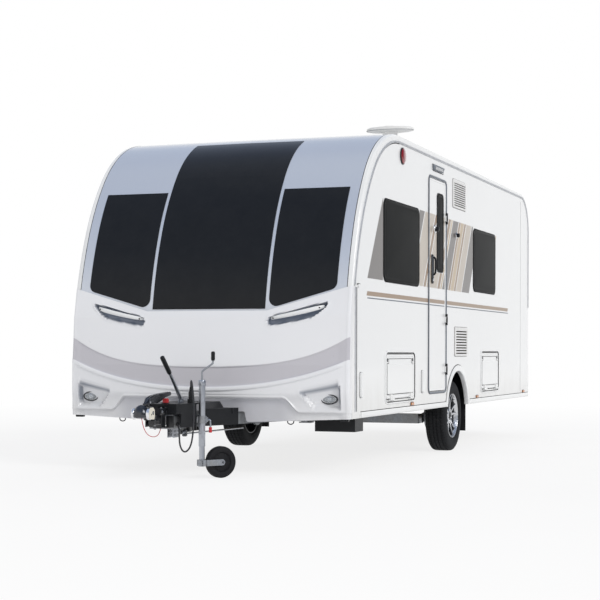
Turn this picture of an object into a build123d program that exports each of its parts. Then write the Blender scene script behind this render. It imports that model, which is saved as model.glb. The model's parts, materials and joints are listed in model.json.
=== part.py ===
"""Single-axle travel caravan, as separate sub-parts.

Row frame: +Z up, front (the coupling) towards -Y, door side towards +X.  The origin is on the ground
under the middle of the whole vehicle.  Sizes are millimetres.  Inside the functions Y is counted from
the road axle, and put() moves each finished node to the row frame.
"""
import os
from math import asin, cos, pi, radians, sin, sqrt, tan

from build123d import *

os.makedirs("parts", exist_ok=True)

# ---- driving dimensions -------------------------------------------------------------------------
# body shell
half_width = 1140          # outer faces of the body
wall = 32                  # thickness of every body panel
skirt_z = 420              # bottom edge of the body
front_y = -3190            # vertical part of the front edge
rear_y = 3200              # rear face of the body
rear_radius = 380          # rear top corner
lean_z = 816               # the front edge starts to lean back here
front_arcs = ((2600, 20), (1800, 22), (1000, 48))   # radius, turn in degrees, from the bottom up
crown_y = -3217            # the same for the front and roof skin, which stands over the side walls
crown_arcs = ((2684, 22.4), (1840, 16.2), (1010, 51.4))
crown_rear = 22            # how far it stands over them at the rear end of the roof
crown_places = ((1140, 0.9), (1118, 1), (0, 1.1))   # distance from the middle, share of the crown there
floor_z = 470              # underside of the floor
floor_thick = 45
seated = 0.3               # between pieces that sit in one another, and pins and their eyes
moving_gap = 6             # all round a door or hatch, and between moving pieces

# lower front moulding: height, how far its middle and its ends stand out, from the bottom up
moulding_sections = ((390, 118, 34), (545, 125, 37), (600, 150, 47), (lean_z, 140, 44),
                     (1180, 84, 37), (1410, 46, 33))
moulding_corner = 30       # its corners start to turn this far from its ends
moulding_side = 24         # how far it stands out at the sides of the body
moulding_foot = ((400, 392), (1120, 420))  # its lower edge: distance from the middle, Z
moulding_shelf_z = 1150    # its hollow ends here
moulding_wall = 60         # its own thickness, with the foam behind it
seam_z = 1222              # its top edge, in the middle
seam_rise = 0.283          # slope of that edge beyond the middle

# front windows
front_centre_x = 464       # half width of the middle one
front_side_inner = 491     # nearer edge of the side ones
front_side_margin = 120    # from their outer edge to the side of the body
front_sill = 15            # height of the windows over the moulding
front_side_top_z = 2166
front_centre_top_y = -2335
front_joint_y = -1936      # joint between the upper front panel and the roof
rear_window = (-420, 420, 1560, 2080)      # X range, Z range
bumper_reach = 60
bumper_z = (skirt_z, 800)
bumper_skin = 8

# side openings: front edge, rear edge, bottom, top
door_rect = (-1027, -464, 569, 2433)
door_window_rect = (-755, -550, 1629, 2308)
door_handle_rect = (-945, -895, 1516, 1759)
side_windows = (           # side, then the rectangle
    (1, (-2377, -1335, 1470, 2119)),
    (1, (588, 1545, 1502, 2102)),
    (-1, (-2377, -1335, 1470, 2119)),
    (-1, (-760, 240, 1560, 2119)),
    (-1, (900, 1750, 1502, 2102)),
)
hatches = (                # name, side, then the rectangle
    ("locker_door_front", 1, (-2310, -1481, 535, 902)),
    ("locker_door_rear", 1, (931, 1686, 545, 913)),
    ("cassette_door", -1, (2150, 2560, 560, 930)),
    ("battery_door", -1, (-1560, -1160, 560, 830)),
)
vents = (                  # side, then the rectangle
    (1, (-207, 277, 2241, 2501)),
    (1, (-124, 346, 877, 1144)),
)
vent_slats = 9
opening_radius = 45
window_radius = 60
front_top_radii = (20, 44)  # upper corners of the front side windows, inner and outer
pane = 22                  # double-glazed acrylic
pane_proud = 4
window_seal = 0.5

# hinges
hinge_out = 14             # hinge axes stand this far off the wall
hinge_pin = 5
hinge_knuckle = 10
hinge_leaf = 40
door_hinge_z = (760, 1205, 2110)
door_hinge_size = (50, 24)                 # sleeve, each knuckle
hatch_hinge_size = (60, 20)
hatch_hinge_inset = 130

# fittings on the body
fog_lamp = (160, 565, 44)                  # in from the side, Z, radius
lamp_proud = 6
lamp_depth = 40
handle_points = ((610, 1168), (570, 1172), (240, 1224), (180, 1238))   # grab handles: in from the side, Z
handle_out = 42
handle_radius = 11
marker_z = 483
markers = (-1547, 765, 2940)               # side markers
marker_size = (45, 14, 9)                  # half length, half height, how far they stand out
rear_lamp = (100, 210, 860, 1330)          # range in from the side, Z range
rear_lamp_proud = 18
high_lamp = (65, 300, 34, 12)              # below the rear corner, width, height, how far it stands out
vent_proud = 9
vent_frame = 24
rail_inset = (8, 24)                       # awning rails, in from the body's edge
rail_proud = 7
aerial_place = (210, -1500)                # in from the side, Y
aerial_foot = (62, 183)                    # radius, top above the walls
aerial_wing = (205, 100, 138, 42)          # half width, half length, underside above the walls, thickness
rooflights = ((-1350, 620), (450, 480), (2250, 400))   # Y, width
rooflight_z = 90
service_box = ((60, 380), (-2900, -2700), 311)         # range in from the side, Y range, underside

# running gear
wheel_radius = 325
tyre_width = 195
tyre_face_x = 1102         # outer face of the road tyres
tread_shoulder = 22
rim_radius = 203
rim_width = 172
rim_wall = 7
spokes = 6
hub_radius = 72
stub_radius = 22
arm_length = 170           # trailing arms of the rubber-sprung axle
axle_tube_drop = 25        # its middle is this far under the wheels' middle
axle_tube_size = 88
backplate_radius = 125
arch_radius = 395          # wheel openings in the side walls
arch_z = 345
arch_lip = 55
arch_proud = 10
wheel_box_y = 425
wheel_box_z = 780
wheel_box_skin = 10
flap_half = 102
flap_thick = 8
flap_y = 432
flap_z = (165, 462)

# chassis
rail_x = 560               # outer faces of the two long members
rail_height = 110
rail_thick = 6
rail_flange = 45
rail_y = (-2250, 2700)
cross_y = (-1700, 900, 2200)
beam_height = 85           # drawbar beams
beam_width = 52
beam_thick = 6
drawbar_z = 375
drawbar_nose = (62, -4010)
nose_plate = 8

# corner steadies: name, side, distance of the pivot from the axle, direction of the folded leg
steadies = (
    ("steady_front_near", 1, -2330, -1),
    ("steady_front_off", -1, -2330, -1),
    ("steady_rear_near", 1, 2250, 1),
    ("steady_rear_off", -1, 2250, 1),
)
steady_ear = 8             # thickness of the lugs that hold a steady's pin
steady_side_gap = 5        # between a leg and each lug
steady_in = 490            # from the side of the body
steady_z = 392
steady_length = 500
steady_width = 50
steady_depth = 28
steady_pin = 8
steady_foot = 90

# coupling and drawbar fittings
coupling_y = -4390         # front tip
coupling_z = 500
ball_y = -4332
ball_z = 478
ball_radius = 25.3
head_radius = 58
housing_y = (-4130, -3996)
housing_x = 52
housing_top = 516
housing_foot = (34, -4085)                 # half width and front of its lower part
cover_z = (376, 545)
cover_shoulder = (168, 500, 32)           # half width of its raised middle, height beside it, its bevel
cover_skin = 5
cover_front = (130, -4045)                 # half width and place of the drawbar cover's three breaks
cover_middle = (180, -3745)
cover_rear = (318, -3352)
drawbar_notch = 335        # half width of the moulding's cut-out over the drawbar
brake_y = -3679
brake_points = ((-3679, 566), (-3887, 768), (-4006, 876))   # pivot, foot of the grip, its end
brake_slot = (16, -90, 60)                 # half width, ahead of the pivot, behind it
cross_plate_y = (-3725, -3635)

nose_reach = 80            # half width of the rib behind the cover's front
lever_shape = ((-4290, 551), (-4282, 562), (-4235, 596), (-4163, 611), (-4060, 620), (-3882, 628),
               (-3877, 606), (-3985, 592), (-4045, 568), (-4120, 551), (-4200, 551))   # coupling handle: Y, Z
lever_foot = (-4242, 26, 20)               # place, half length, half width
lever_half = 23            # half width of the handle
pad = (45, 85, 40)         # friction pads beside the ball: X range, radius

# jockey wheel
jockey_x = 196
jockey_y = -3745
jockey_tube_radius = 24
jockey_stem_radius = 20
jockey_tube_z = (232, 712)
jockey_clamp_z = (398, 452)
jockey_travel = 88
jockey_wheel_radius = 115
jockey_wheel_width = 60
jockey_trail = 150
jockey_heading = 50        # degrees from the door side towards the rear
jockey_axle = 8
jockey_fork = 8            # thickness of the fork's arms
jockey_collar = (26, 88, 138)              # radius, Z range
jockey_spindle = 12
crank_radius = 7
crank_offset = 85

# cords: the towing lead and its plug, and the breakaway cable
lead_radius = 6
lead_points = ((104, -3975, 402), (150, -4040, 388), (170, -4082, 330), (178, -4090, 250), (206, -4076, 204),
               (238, -4048, 236), (250, -4028, 320), (238, -3985, 440), (212, -3926, 550), (182, -3876, 640),
               (158, -3842, 702), (132, -3800, 708), (132, -3800, 664))
plug = (132, -3800, 548, 17)               # X, Y, foot, radius
plug_height = 80
wire_radius = 2.5
wire_points = ((17, -4368, 455.8), (29, -4372, 400), (44, -4348, 350), (47, -4284, 326), (40, -4200, 320),
               (27, -4120, 331), (15, -4070, 352), (10, -4045, 374.8))

# ---- worked out from them -----------------------------------------------------------------------
inner_x = half_width - wall
moulding_end_x = half_width - moulding_corner
front_side_x = (front_side_inner, half_width - front_side_margin)
steady_x = half_width - steady_in
axle_tube_z = wheel_radius - axle_tube_drop
past_x = half_width + 60   # beyond the body, for cuts
past_front = front_y - 400
past_rear = rear_y + 100
past_roof = 3000
axle_y = (-coupling_y - (rear_y + bumper_reach)) / 2     # from the middle of the vehicle
hub_x = tyre_face_x - tyre_width / 2
well_x = hub_x - tyre_width / 2 - 30       # inner faces of the wheel boxes
hinge_x = half_width + hinge_out
stub_end = hub_x + 40
arm_run = sqrt(arm_length ** 2 - (wheel_radius - axle_tube_z) ** 2)
rail_bottom = floor_z - rail_height
drawbar_top = drawbar_z + beam_height


# ---- helpers ------------------------------------------------------------------------------------
def block(x, y, z):
    """A box from its ranges."""
    middle = Pos((x[0] + x[1]) / 2, (y[0] + y[1]) / 2, (z[0] + z[1]) / 2)
    return middle * Box(abs(x[1] - x[0]), abs(y[1] - y[0]), abs(z[1] - z[0]))


def rod(start, end, radius):
    a, b = Vector(*start), Vector(*end)
    return extrude(Plane(origin=a, z_dir=b - a) * Circle(radius), amount=(b - a).length)


def bent_bar(points, radius, bends):
    """A round bar along straight runs joined by arcs."""
    path = FilletPolyline(*points, radius=bends)
    return sweep(Plane(origin=path @ 0, z_dir=path % 0) * Circle(radius), path=path)


def fused(solids):
    solids = list(solids)
    whole = solids[0]
    for s in solids[1:]:
        whole += s
    return whole


def shrunk(rect, margin):
    """A rectangle (front, rear, bottom, top) with a margin taken off each side."""
    return (rect[0] + margin, rect[1] - margin, rect[2] + margin, rect[3] - margin)


def side_plate(side, rect, corner, x_in, x_out):
    """A rounded rectangle along a side wall, between two distances from the middle."""
    face = RectangleRounded(rect[1] - rect[0], rect[3] - rect[2], corner)
    plane = Plane(origin=(side * x_in, (rect[0] + rect[1]) / 2, (rect[2] + rect[3]) / 2),
                  x_dir=(0, 1, 0), z_dir=(side, 0, 0))
    return extrude(plane * face, amount=x_out - x_in)


def along_y(face, y0, y1):
    """A face drawn in (X, Z), pushed from one Y to another."""
    return extrude(Plane(origin=(0, y1, 0), x_dir=(1, 0, 0), z_dir=(0, -1, 0)) * face, amount=y1 - y0)


def across(face, x0, x1):
    """A face drawn in (Y, Z), pushed from one X to another."""
    return extrude(Plane(origin=(x0, 0, 0), x_dir=(0, 1, 0), z_dir=(1, 0, 0)) * face, amount=x1 - x0)


def mirrored(shape):
    return mirror(shape, about=Plane.YZ)


def put(name, *shapes):
    """Writes one node, moved from the axle's frame to the row frame."""
    solids = [s for shape in shapes for s in shape.solids()]
    export_step(Pos(0, axle_y, 0) * Compound(solids), f"parts/{name}.step")


# ---- outline of the body ------------------------------------------------------------------------
def front_edge(inset=0, crown=0):
    """The lowest point of the leaning front edge, then (middle, end) of each of its arcs."""
    place = front_y + crown * (crown_y - front_y)
    table = [(r + crown * (cr - r), t + crown * (ct - t))
             for (r, t), (cr, ct) in zip(front_arcs, crown_arcs)]
    centre = Vector(place + table[0][0], lean_z)
    start = Vector(place + inset, lean_z)
    angle, arcs = 180.0, []
    for i, (radius, turn) in enumerate(table):
        middle, end = radians(angle - turn / 2), radians(angle - turn)
        r = radius - inset
        arcs.append((centre + Vector(cos(middle), sin(middle)) * r, centre + Vector(cos(end), sin(end)) * r))
        if i + 1 < len(table):
            centre += Vector(cos(end), sin(end)) * (radius - table[i + 1][0])
        angle -= turn
    return start, arcs


def edge_y(z):
    """Place of the front edge within its upright part and its first arc."""
    if z <= lean_z:
        return front_y
    radius = front_arcs[0][0]
    return front_y + radius - radius * cos(asin((z - lean_z) / radius))


roof_z = front_edge()[1][-1][1].Y


def side_outline(inset=0, bottom=skirt_z, crown=0):
    start, arcs = front_edge(inset, crown)
    rise = crown * crown_rear
    r = rear_radius - inset
    corner = Vector(rear_y - rear_radius, roof_z - rear_radius)
    lines = [Line((start.X, bottom), start)]
    last = start
    for middle, end in arcs:
        lines.append(ThreePointArc(last, middle, end))
        last = end
    over = corner + Vector(0, r + rise)
    half_way = corner + Vector(cos(pi / 4), sin(pi / 4)) * r + Vector(0, rise / 2)
    lines.append(Line(last, over))
    lines.append(ThreePointArc(over, half_way, corner + Vector(r, 0)))
    lines.append(Line(corner + Vector(r, 0), (corner.X + r, bottom)))
    lines.append(Line((corner.X + r, bottom), (start.X, bottom)))
    return make_face(Wire(lines))


def crowned(inset, bottom=skirt_z):
    """All that the crowned skin holds, at an inset."""
    places = [(-x, share) for x, share in crown_places[:-1]] + list(reversed(crown_places))
    sections = []
    for x, share in places:
        side = (x > 0) - (x < 0)
        plane = Plane(origin=(x - side * inset, 0, 0), x_dir=(0, 1, 0), z_dir=(1, 0, 0))
        sections.append(plane * side_outline(inset, bottom, share))
    return loft(sections, ruled=True)


def skin(outside, inside):
    """The front, roof and rear skin between two insets, open at the bottom."""
    return crowned(outside) - crowned(inside, skirt_z - 50)


def seam_points(rise, reach):
    """The moulding's top edge in (X, Z), raised by some height, from -X to +X."""
    end = front_side_x[0] + reach
    top = seam_z + rise + seam_rise * reach
    return [(-end, top), (-front_side_x[0], seam_z + rise), (front_side_x[0], seam_z + rise), (end, top)]


def above_seam(rise=0):
    """All that lies over the moulding's top edge, in (X, Z)."""
    points = seam_points(rise, past_x - front_side_x[0])
    return make_face(Polyline(*points, (past_x, past_roof), (-past_x, past_roof), close=True))


# ---- body panels --------------------------------------------------------------------------------
def front_window_shapes(margin):
    """The three front windows as front views, grown by a margin."""
    inner, outer = front_side_x
    sill = seam_z + front_sill
    middle = make_face(Polyline((-front_centre_x - margin, sill - margin), (front_centre_x + margin, sill - margin),
                                (front_centre_x + margin, past_roof), (-front_centre_x - margin, past_roof),
                                close=True))
    shapes = [along_y(middle, past_front, front_centre_top_y + margin)]
    rise = (outer - inner) * seam_rise
    side = make_face(Polyline((inner - margin, sill - margin), (outer + margin, sill + rise - margin),
                              (outer + margin, front_side_top_z + margin),
                              (inner - margin, front_side_top_z + margin), close=True))
    side = fillet(side.vertices().sort_by(Axis.Z)[:2], window_radius + margin)
    for radius, end in zip(front_top_radii, (0, -1)):
        upper = side.vertices().sort_by(Axis.Z)[-2:] if end == 0 else side.vertices().sort_by(Axis.Z)[-1:]
        side = fillet(upper.sort_by(Axis.X)[end], radius + margin)
    near = along_y(side, past_front, front_joint_y)
    return shapes + [near, mirrored(near)]


def side_holes(side, x_in, x_out):
    """Everything cut out of a side wall."""
    holes = [side_plate(s, shrunk(rect, -window_seal), window_radius + window_seal, x_in, x_out)
             for s, rect in side_windows if s == side]
    holes += [side_plate(s, rect, opening_radius, x_in, x_out) for _, s, rect in hatches if s == side]
    if side > 0:
        holes.append(side_plate(1, door_rect, opening_radius, x_in, x_out))
    arch = across(Pos(0, arch_z) * Circle(arch_radius), x_in, x_out)
    holes.append(arch if side > 0 else mirrored(arch))
    return holes


def body_panels():
    for side, name in ((1, "side_wall_near"), (-1, "side_wall_off")):
        panel = across(side_outline(wall), inner_x, half_width)
        if side < 0:
            panel = mirrored(panel)
        for hole in side_holes(side, inner_x - 5, half_width + 5):
            panel -= hole
        put(name, panel)

    shell = skin(0, wall) - across(side_outline(wall, skirt_z - 50), -past_x, past_x)
    front = shell & along_y(above_seam(), past_front, front_joint_y)
    for hole in front_window_shapes(window_seal):
        front -= hole
    put("front_panel_upper", front)
    rear_joint_z = roof_z - rear_radius
    put("roof_panel", shell & block((-past_x, past_x), (front_joint_y, past_rear), (rear_joint_z, past_roof)))
    rear = shell & block((-past_x, past_x), (rear_y - rear_radius, past_rear), (skirt_z, rear_joint_z))
    x0, x1, z0, z1 = rear_window
    opening = Pos((x0 + x1) / 2, (z0 + z1) / 2) * RectangleRounded(
        x1 - x0 + 2 * window_seal, z1 - z0 + 2 * window_seal, window_radius + window_seal)
    put("rear_panel", rear - along_y(opening, rear_y - 2 * wall, past_rear))

    floor = block((-inner_x, inner_x), (front_y + wall, rear_y - wall), (floor_z, floor_z + floor_thick))
    for s in (-1, 1):
        well = (s * well_x, s * (inner_x + 1))
        floor -= block(well, (-wheel_box_y, wheel_box_y), (floor_z - 1, floor_z + floor_thick + 1))
    put("floor_panel", floor)


def moulding_section(z, middle, end, inset):
    """One level outline of the lower front moulding, with its back on the body's own edge."""
    y = edge_y(z)
    x_end, x_out = moulding_end_x - inset, half_width - inset
    back = y + 2 * wall
    front_left = Vector(-x_end, y - end + inset, z)
    front_right = Vector(x_end, y - end + inset, z)
    turn_y = y - moulding_side + inset
    half_turn = Vector(x_out - 0.28 * moulding_corner, turn_y - 0.75 * (end - moulding_side), z)
    other_turn = Vector(-half_turn.X, half_turn.Y, z)
    return make_face(Wire([
        Line((-x_out, back + inset, z), (-x_out, turn_y, z)),
        ThreePointArc((-x_out, turn_y, z), other_turn, front_left),
        ThreePointArc(front_left, (0, y - middle + inset, z), front_right),
        ThreePointArc(front_right, half_turn, (x_out, turn_y, z)),
        Line((x_out, turn_y, z), (x_out, back + inset, z)),
        Line((x_out, back + inset, z), (-x_out, back + inset, z)),
    ]))


def moulding_y(x, z):
    """Place of the moulding's front face."""
    for low, high in zip(moulding_sections, moulding_sections[1:]):
        if z <= high[0]:
            break
    t = (z - low[0]) / (high[0] - low[0])
    middle = low[1] + t * (high[1] - low[1])
    end = low[2] + t * (high[2] - low[2])
    face = edge_y(low[0]) + t * (edge_y(high[0]) - edge_y(low[0]))
    return face - middle + (middle - end) * (x / moulding_end_x) ** 2


def moulding_body():
    """The moulding's whole outer form, back to the body's own front."""
    body = loft([moulding_section(z, m, e, 0) for z, m, e in moulding_sections], ruled=True)
    body -= across(side_outline(wall, skirt_z - 50), -past_x, past_x)
    return body - along_y(above_seam(), past_front, front_joint_y)


def front_moulding():
    inner = [moulding_section(z, m, e, moulding_wall) for z, m, e in moulding_sections[:-1]]
    behind = front_y + 300
    inside = loft(inner, ruled=True) & block((-past_x, past_x), (past_front, behind), (0, moulding_shelf_z))
    shell = moulding_body() - inside
    (x0, z0), (x1, z1) = moulding_foot
    below = make_face(Polyline((-x1, z1), (-x0, z0), (x0, z0), (x1, z1), (past_x, z1), (past_x, 0), (-past_x, 0),
                               (-past_x, z1), close=True))
    shell -= along_y(below, past_front, behind)
    shell -= block((-drawbar_notch, drawbar_notch), (past_front, behind), (0, floor_z))
    margin, z, radius = fog_lamp
    x = half_width - margin
    face = moulding_y(x, z)
    for s in (-1, 1):
        shell -= rod((s * x, face - 60, z), (s * x, face + lamp_depth + 40, z), radius + seated)
    put("front_moulding_lower", shell)


def windows():
    layer = skin(-pane_proud, pane - pane_proud)
    put("front_windows", *[layer & shape for shape in front_window_shapes(0)])
    x_in, x_out = half_width + pane_proud - pane, half_width + pane_proud
    sides = [side_plate(s, rect, window_radius, x_in, x_out) for s, rect in side_windows]
    x0, x1, z0, z1 = rear_window
    opening = Pos((x0 + x1) / 2, (z0 + z1) / 2) * RectangleRounded(x1 - x0, z1 - z0, window_radius)
    sides.append(along_y(opening, rear_y + pane_proud - pane, rear_y + pane_proud))
    put("side_windows", *sides)


# ---- hinges, door and hatches -------------------------------------------------------------------
def hinge(side, point, upright, size):
    """The fixed knuckles with their pin, and the moving sleeve between them."""
    axis = Vector(0, 0, 1) if upright else Vector(0, 1, 0)
    p = Vector(*point)
    half = size[0] / 2
    far = half + seated + size[1]
    wall_x = side * half_width
    fixed = rod(p - axis * far, p + axis * far, hinge_pin)
    for s in (-1, 1):
        a, b = p + axis * (s * (half + seated)), p + axis * (s * far)
        fixed += rod(a, b, hinge_knuckle)
        if upright:
            fixed += block((wall_x, p.X), (p.Y, p.Y + hinge_leaf), (a.Z, b.Z))
        else:
            fixed += block((wall_x, p.X), (a.Y, b.Y), (p.Z - hinge_leaf, p.Z))
    moving = rod(p - axis * half, p + axis * half, hinge_knuckle)
    if upright:
        moving += block((wall_x, p.X), (p.Y - hinge_leaf, p.Y), (p.Z - half, p.Z + half))
    else:
        moving += block((wall_x, p.X), (p.Y - half, p.Y + half), (p.Z, p.Z + hinge_leaf))
    moving -= rod(p - axis * (half + 1), p + axis * (half + 1), hinge_pin + seated)
    return fixed, moving


def door_and_hatches():
    leaves = []
    door = side_plate(1, shrunk(door_rect, moving_gap), opening_radius - moving_gap, inner_x, half_width)
    door -= side_plate(1, shrunk(door_window_rect, -window_seal), window_radius + window_seal,
                       inner_x - 1, half_width + 1)
    for z in door_hinge_z:
        fixed, moving = hinge(1, (hinge_x, door_rect[1] - moving_gap / 2, z), True, door_hinge_size)
        leaves.append(fixed)
        door += moving
    put("door_panel", door)
    put("door_window", side_plate(1, door_window_rect, window_radius, half_width + pane_proud - pane,
                                  half_width + pane_proud))
    handle = side_plate(1, door_handle_rect, 20, half_width, half_width + 12)
    grip = shrunk(door_handle_rect, 8)
    y = (grip[0] + grip[1]) / 2
    handle += bent_bar([(half_width + 11, y, grip[2] + 20), (half_width + 34, y, grip[2] + 32),
                        (half_width + 34, y, grip[3] - 32), (half_width + 11, y, grip[3] - 20)], 8, 12)
    put("door_handle", handle)

    for name, s, rect in hatches:
        panel = side_plate(s, shrunk(rect, moving_gap), opening_radius - moving_gap, inner_x, half_width)
        for y in (rect[0] + hatch_hinge_inset, rect[1] - hatch_hinge_inset):
            fixed, moving = hinge(s, (s * hinge_x, y, rect[2] + moving_gap / 2), False, hatch_hinge_size)
            leaves.append(fixed)
            panel += moving
        put(name, panel)
    put("hinge_leaves", *leaves)


# ---- fittings on the body -----------------------------------------------------------------------
def both_sides(shape):
    return [shape, mirrored(shape)]


def lamps():
    margin, z, radius = fog_lamp
    x = half_width - margin
    face = moulding_y(x, z)
    put("front_lamps", *both_sides(rod((x, face - lamp_proud, z), (x, face + lamp_depth, z), radius)))

    long, high, proud = marker_size
    put("side_markers", *[side_plate(s, (y - long, y + long, marker_z - high, marker_z + high), high - 2,
                                     half_width, half_width + proud) for s in (-1, 1) for y in markers])

    near, far, z0, z1 = rear_lamp
    cluster = Pos(half_width - (near + far) / 2, (z0 + z1) / 2) * RectangleRounded(far - near, z1 - z0, 30)
    drop, wide, tall, proud = high_lamp
    bar = along_y(Pos(0, roof_z - rear_radius - drop) * RectangleRounded(wide, tall, tall / 3), rear_y, rear_y + proud)
    put("rear_lamps", *both_sides(along_y(cluster, rear_y, rear_y + rear_lamp_proud)), bar)


def wall_fittings():
    grids = []
    for s, rect in vents:
        frame = side_plate(s, rect, 18, half_width, half_width + vent_proud)
        hole = shrunk(rect, vent_frame)
        frame -= side_plate(s, hole, 6, half_width + 3, half_width + vent_proud + 1)
        pitch = (hole[3] - hole[2]) / vent_slats
        for i in range(vent_slats):
            z = hole[2] + (i + 0.5) * pitch
            frame += side_plate(s, (hole[0] - 2, hole[1] + 2, z - pitch * 0.3, z + pitch * 0.3), 2,
                                half_width + 2, half_width + vent_proud - 2)
        grids.append(frame)
    put("fridge_vents", *grids)

    outer, inner = rail_inset
    band = side_outline(outer, skirt_z + 600) - side_outline(inner, skirt_z + 500)
    upper = block((0, past_x), (past_front, past_rear), (moulding_sections[-1][0], past_roof))
    put("awning_rails", *both_sides(across(band, half_width, half_width + rail_proud) & upper))

    ring = Pos(0, arch_z) * (Circle(arch_radius + arch_lip) - Circle(arch_radius))
    reach = arch_radius + arch_lip + 10
    above = block((0, past_x), (-reach, reach), (skirt_z, arch_z + reach))
    put("wheel_arch_trims", *both_sides(across(ring, half_width, half_width + arch_proud) & above))

    outer = block((well_x, inner_x), (-wheel_box_y, wheel_box_y), (floor_z, wheel_box_z))
    inner = block((well_x + wheel_box_skin, inner_x + 1),
                  (-wheel_box_y + wheel_box_skin, wheel_box_y - wheel_box_skin),
                  (floor_z - 1, wheel_box_z - wheel_box_skin))
    put("wheel_boxes", *both_sides(outer - inner))

    across_x = (hub_x - flap_half, hub_x + flap_half)
    flap = block(across_x, (flap_y, flap_y + flap_thick), flap_z)
    flap += block(across_x, (flap_y - 5, flap_y + 30), (flap_z[1], floor_z))
    put("mudflaps", *both_sides(flap))

    points = []
    for (margin, z), out in zip(handle_points, (0, handle_out, handle_out, 0)):
        x = half_width - margin
        points.append((x, moulding_y(x, z) - out, z))
    put("grab_handles", *both_sides(bent_bar(points, handle_radius, 20) - moulding_body()))


def roof_and_rear_fittings():
    margin, y = aerial_place
    x = half_width - margin
    body = crowned(0)
    radius, height = aerial_foot
    wide, long, foot, thick = aerial_wing
    aerial = rod((x, y, roof_z), (x, y, roof_z + height), radius)
    aerial += extrude(Plane(origin=(x, y, roof_z + foot)) * Ellipse(wide, long), amount=thick)
    put("roof_aerial", aerial - body)

    domes = []
    for y, size in rooflights:
        dome = Pos(0, y, roof_z + rooflight_z / 2) * Box(size, size * 0.8, rooflight_z)
        domes.append(chamfer(dome.faces().sort_by(Axis.Z)[-1].edges(), rooflight_z * 0.45))
    put("rooflights", *[dome - body for dome in domes])

    bumper = block((-half_width, half_width), (rear_y, rear_y + bumper_reach), bumper_z)
    bumper = fillet(bumper.edges().filter_by(Axis.Z).group_by(Axis.Y)[-1], bumper_reach * 0.85)
    top = bumper.faces().sort_by(Axis.Z)[-1]
    bumper = chamfer(top.edges().group_by(Axis.Y)[-1], bumper_reach * 0.5)
    low, high = bumper_z
    bumper -= block((bumper_reach - half_width, half_width - bumper_reach),
                    (rear_y - 1, rear_y + bumper_reach - bumper_skin),
                    (low - 1, high - bumper_reach * 0.5 - bumper_skin))
    put("rear_bumper", bumper)

    (near, far), box_y, low = service_box
    put("service_box", block((half_width - far, half_width - near), box_y, (low, floor_z)))


# ---- chassis and running gear -------------------------------------------------------------------
def chassis():
    rails, crosses = [], []
    for s in (-1, 1):
        rail = block((s * rail_x, s * (rail_x - rail_thick)), rail_y, (rail_bottom, floor_z))
        for z in (rail_bottom, floor_z - rail_thick):
            rail += block((s * rail_x, s * (rail_x - rail_flange)), rail_y, (z, z + rail_thick))
        rails.append(rail)
    put("chassis_rails", *rails)

    for y in cross_y:
        crosses.append(block((-rail_x + rail_thick, rail_x - rail_thick), (y - 25, y + 25),
                             (rail_bottom + 20, rail_bottom + 70)))
    for _, s, y, _ in steadies:
        outrigger = block((s * rail_x, s * (inner_x - 40)), (y - 30, y + 30), (floor_z - 40, floor_z))
        inner = steady_width / 2 + steady_side_gap
        outer = inner + steady_ear
        for e in (-1, 1):
            outrigger += block((s * steady_x + e * inner, s * steady_x + e * outer), (y - 26, y + 26),
                               (steady_z - 22, floor_z - 39))
        outrigger += rod((s * steady_x - outer, y, steady_z), (s * steady_x + outer, y, steady_z), steady_pin)
        crosses.append(outrigger)
    put("cross_members", *crosses)

    half = axle_tube_size / 2
    axle = block((-820, 820), (-arm_run - half, -arm_run + half), (axle_tube_z - half, axle_tube_z + half))
    for s in (-1, 1):
        axle += block((s * (rail_x - rail_flange), s * rail_x), (-arm_run - 70, -arm_run + 70),
                      (axle_tube_z + half - 1, rail_bottom))
        shaft = (s * 820, s * 852)
        axle += rod((shaft[0], -arm_run, axle_tube_z), (shaft[1], -arm_run, axle_tube_z), 34)
        arm = Plane(origin=(826 if s > 0 else -852, 0, 0), x_dir=(0, 1, 0), z_dir=(1, 0, 0))
        web = Polygon((-arm_run, axle_tube_z - 40), (0, wheel_radius - 34), (0, wheel_radius + 34),
                      (-arm_run, axle_tube_z + 40), align=None)
        web += [Pos(-arm_run, axle_tube_z) * Circle(40), Pos(0, wheel_radius) * Circle(34)]
        axle += extrude(arm * web, amount=26)
        axle += rod((s * 850, 0, wheel_radius), (s * 872, 0, wheel_radius), backplate_radius)
        axle += rod((s * 850, 0, wheel_radius), (s * stub_end, 0, wheel_radius), stub_radius)
    put("axle_beam", axle)


def road_wheel(side, name):
    """A tyre on a spoked rim; the rim's hub turns on the stub axle."""
    half = tyre_width / 2
    profile = make_face(Polyline(
        (-half + 10, rim_radius), (half - 10, rim_radius), (half, rim_radius + 30), (half, 275),
        (half - tread_shoulder, wheel_radius), (-half + tread_shoulder, wheel_radius), (-half, 275),
        (-half, rim_radius + 30), close=True))
    axis_plane = Plane(origin=(side * hub_x, 0, wheel_radius), x_dir=(1, 0, 0), z_dir=(0, -1, 0))
    spin = Axis((0, 0, wheel_radius), (1, 0, 0))
    put(f"tyre_{name}", revolve(axis_plane * profile, axis=spin))

    half = rim_width / 2
    barrel = make_face(Polyline((-half, rim_radius - rim_wall), (half, rim_radius - rim_wall),
                                (half, rim_radius), (-half, rim_radius), close=True))
    rim = revolve(axis_plane * barrel, axis=spin)
    face_x = half - 34
    disc = rod((side * (hub_x + face_x), 0, wheel_radius), (side * (hub_x + face_x + 16), 0, wheel_radius),
               rim_radius - rim_wall + 1)
    for i in range(spokes):
        hole = Rot(i * 360 / spokes, 0, 0) * Pos(0, 0, 135) * Rot(0, 90, 0)
        disc -= Pos(side * (hub_x + face_x + 8), 0, wheel_radius) * hole * Cylinder(40, 40)
    rim += disc
    rim += rod((side * (hub_x - 20), 0, wheel_radius), (side * (hub_x + face_x + 20), 0, wheel_radius),
               hub_radius)
    rim -= rod((side * (hub_x - 30), 0, wheel_radius), (side * (stub_end + 4), 0, wheel_radius),
               stub_radius + seated)
    put(f"rim_{name}", rim)


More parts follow.
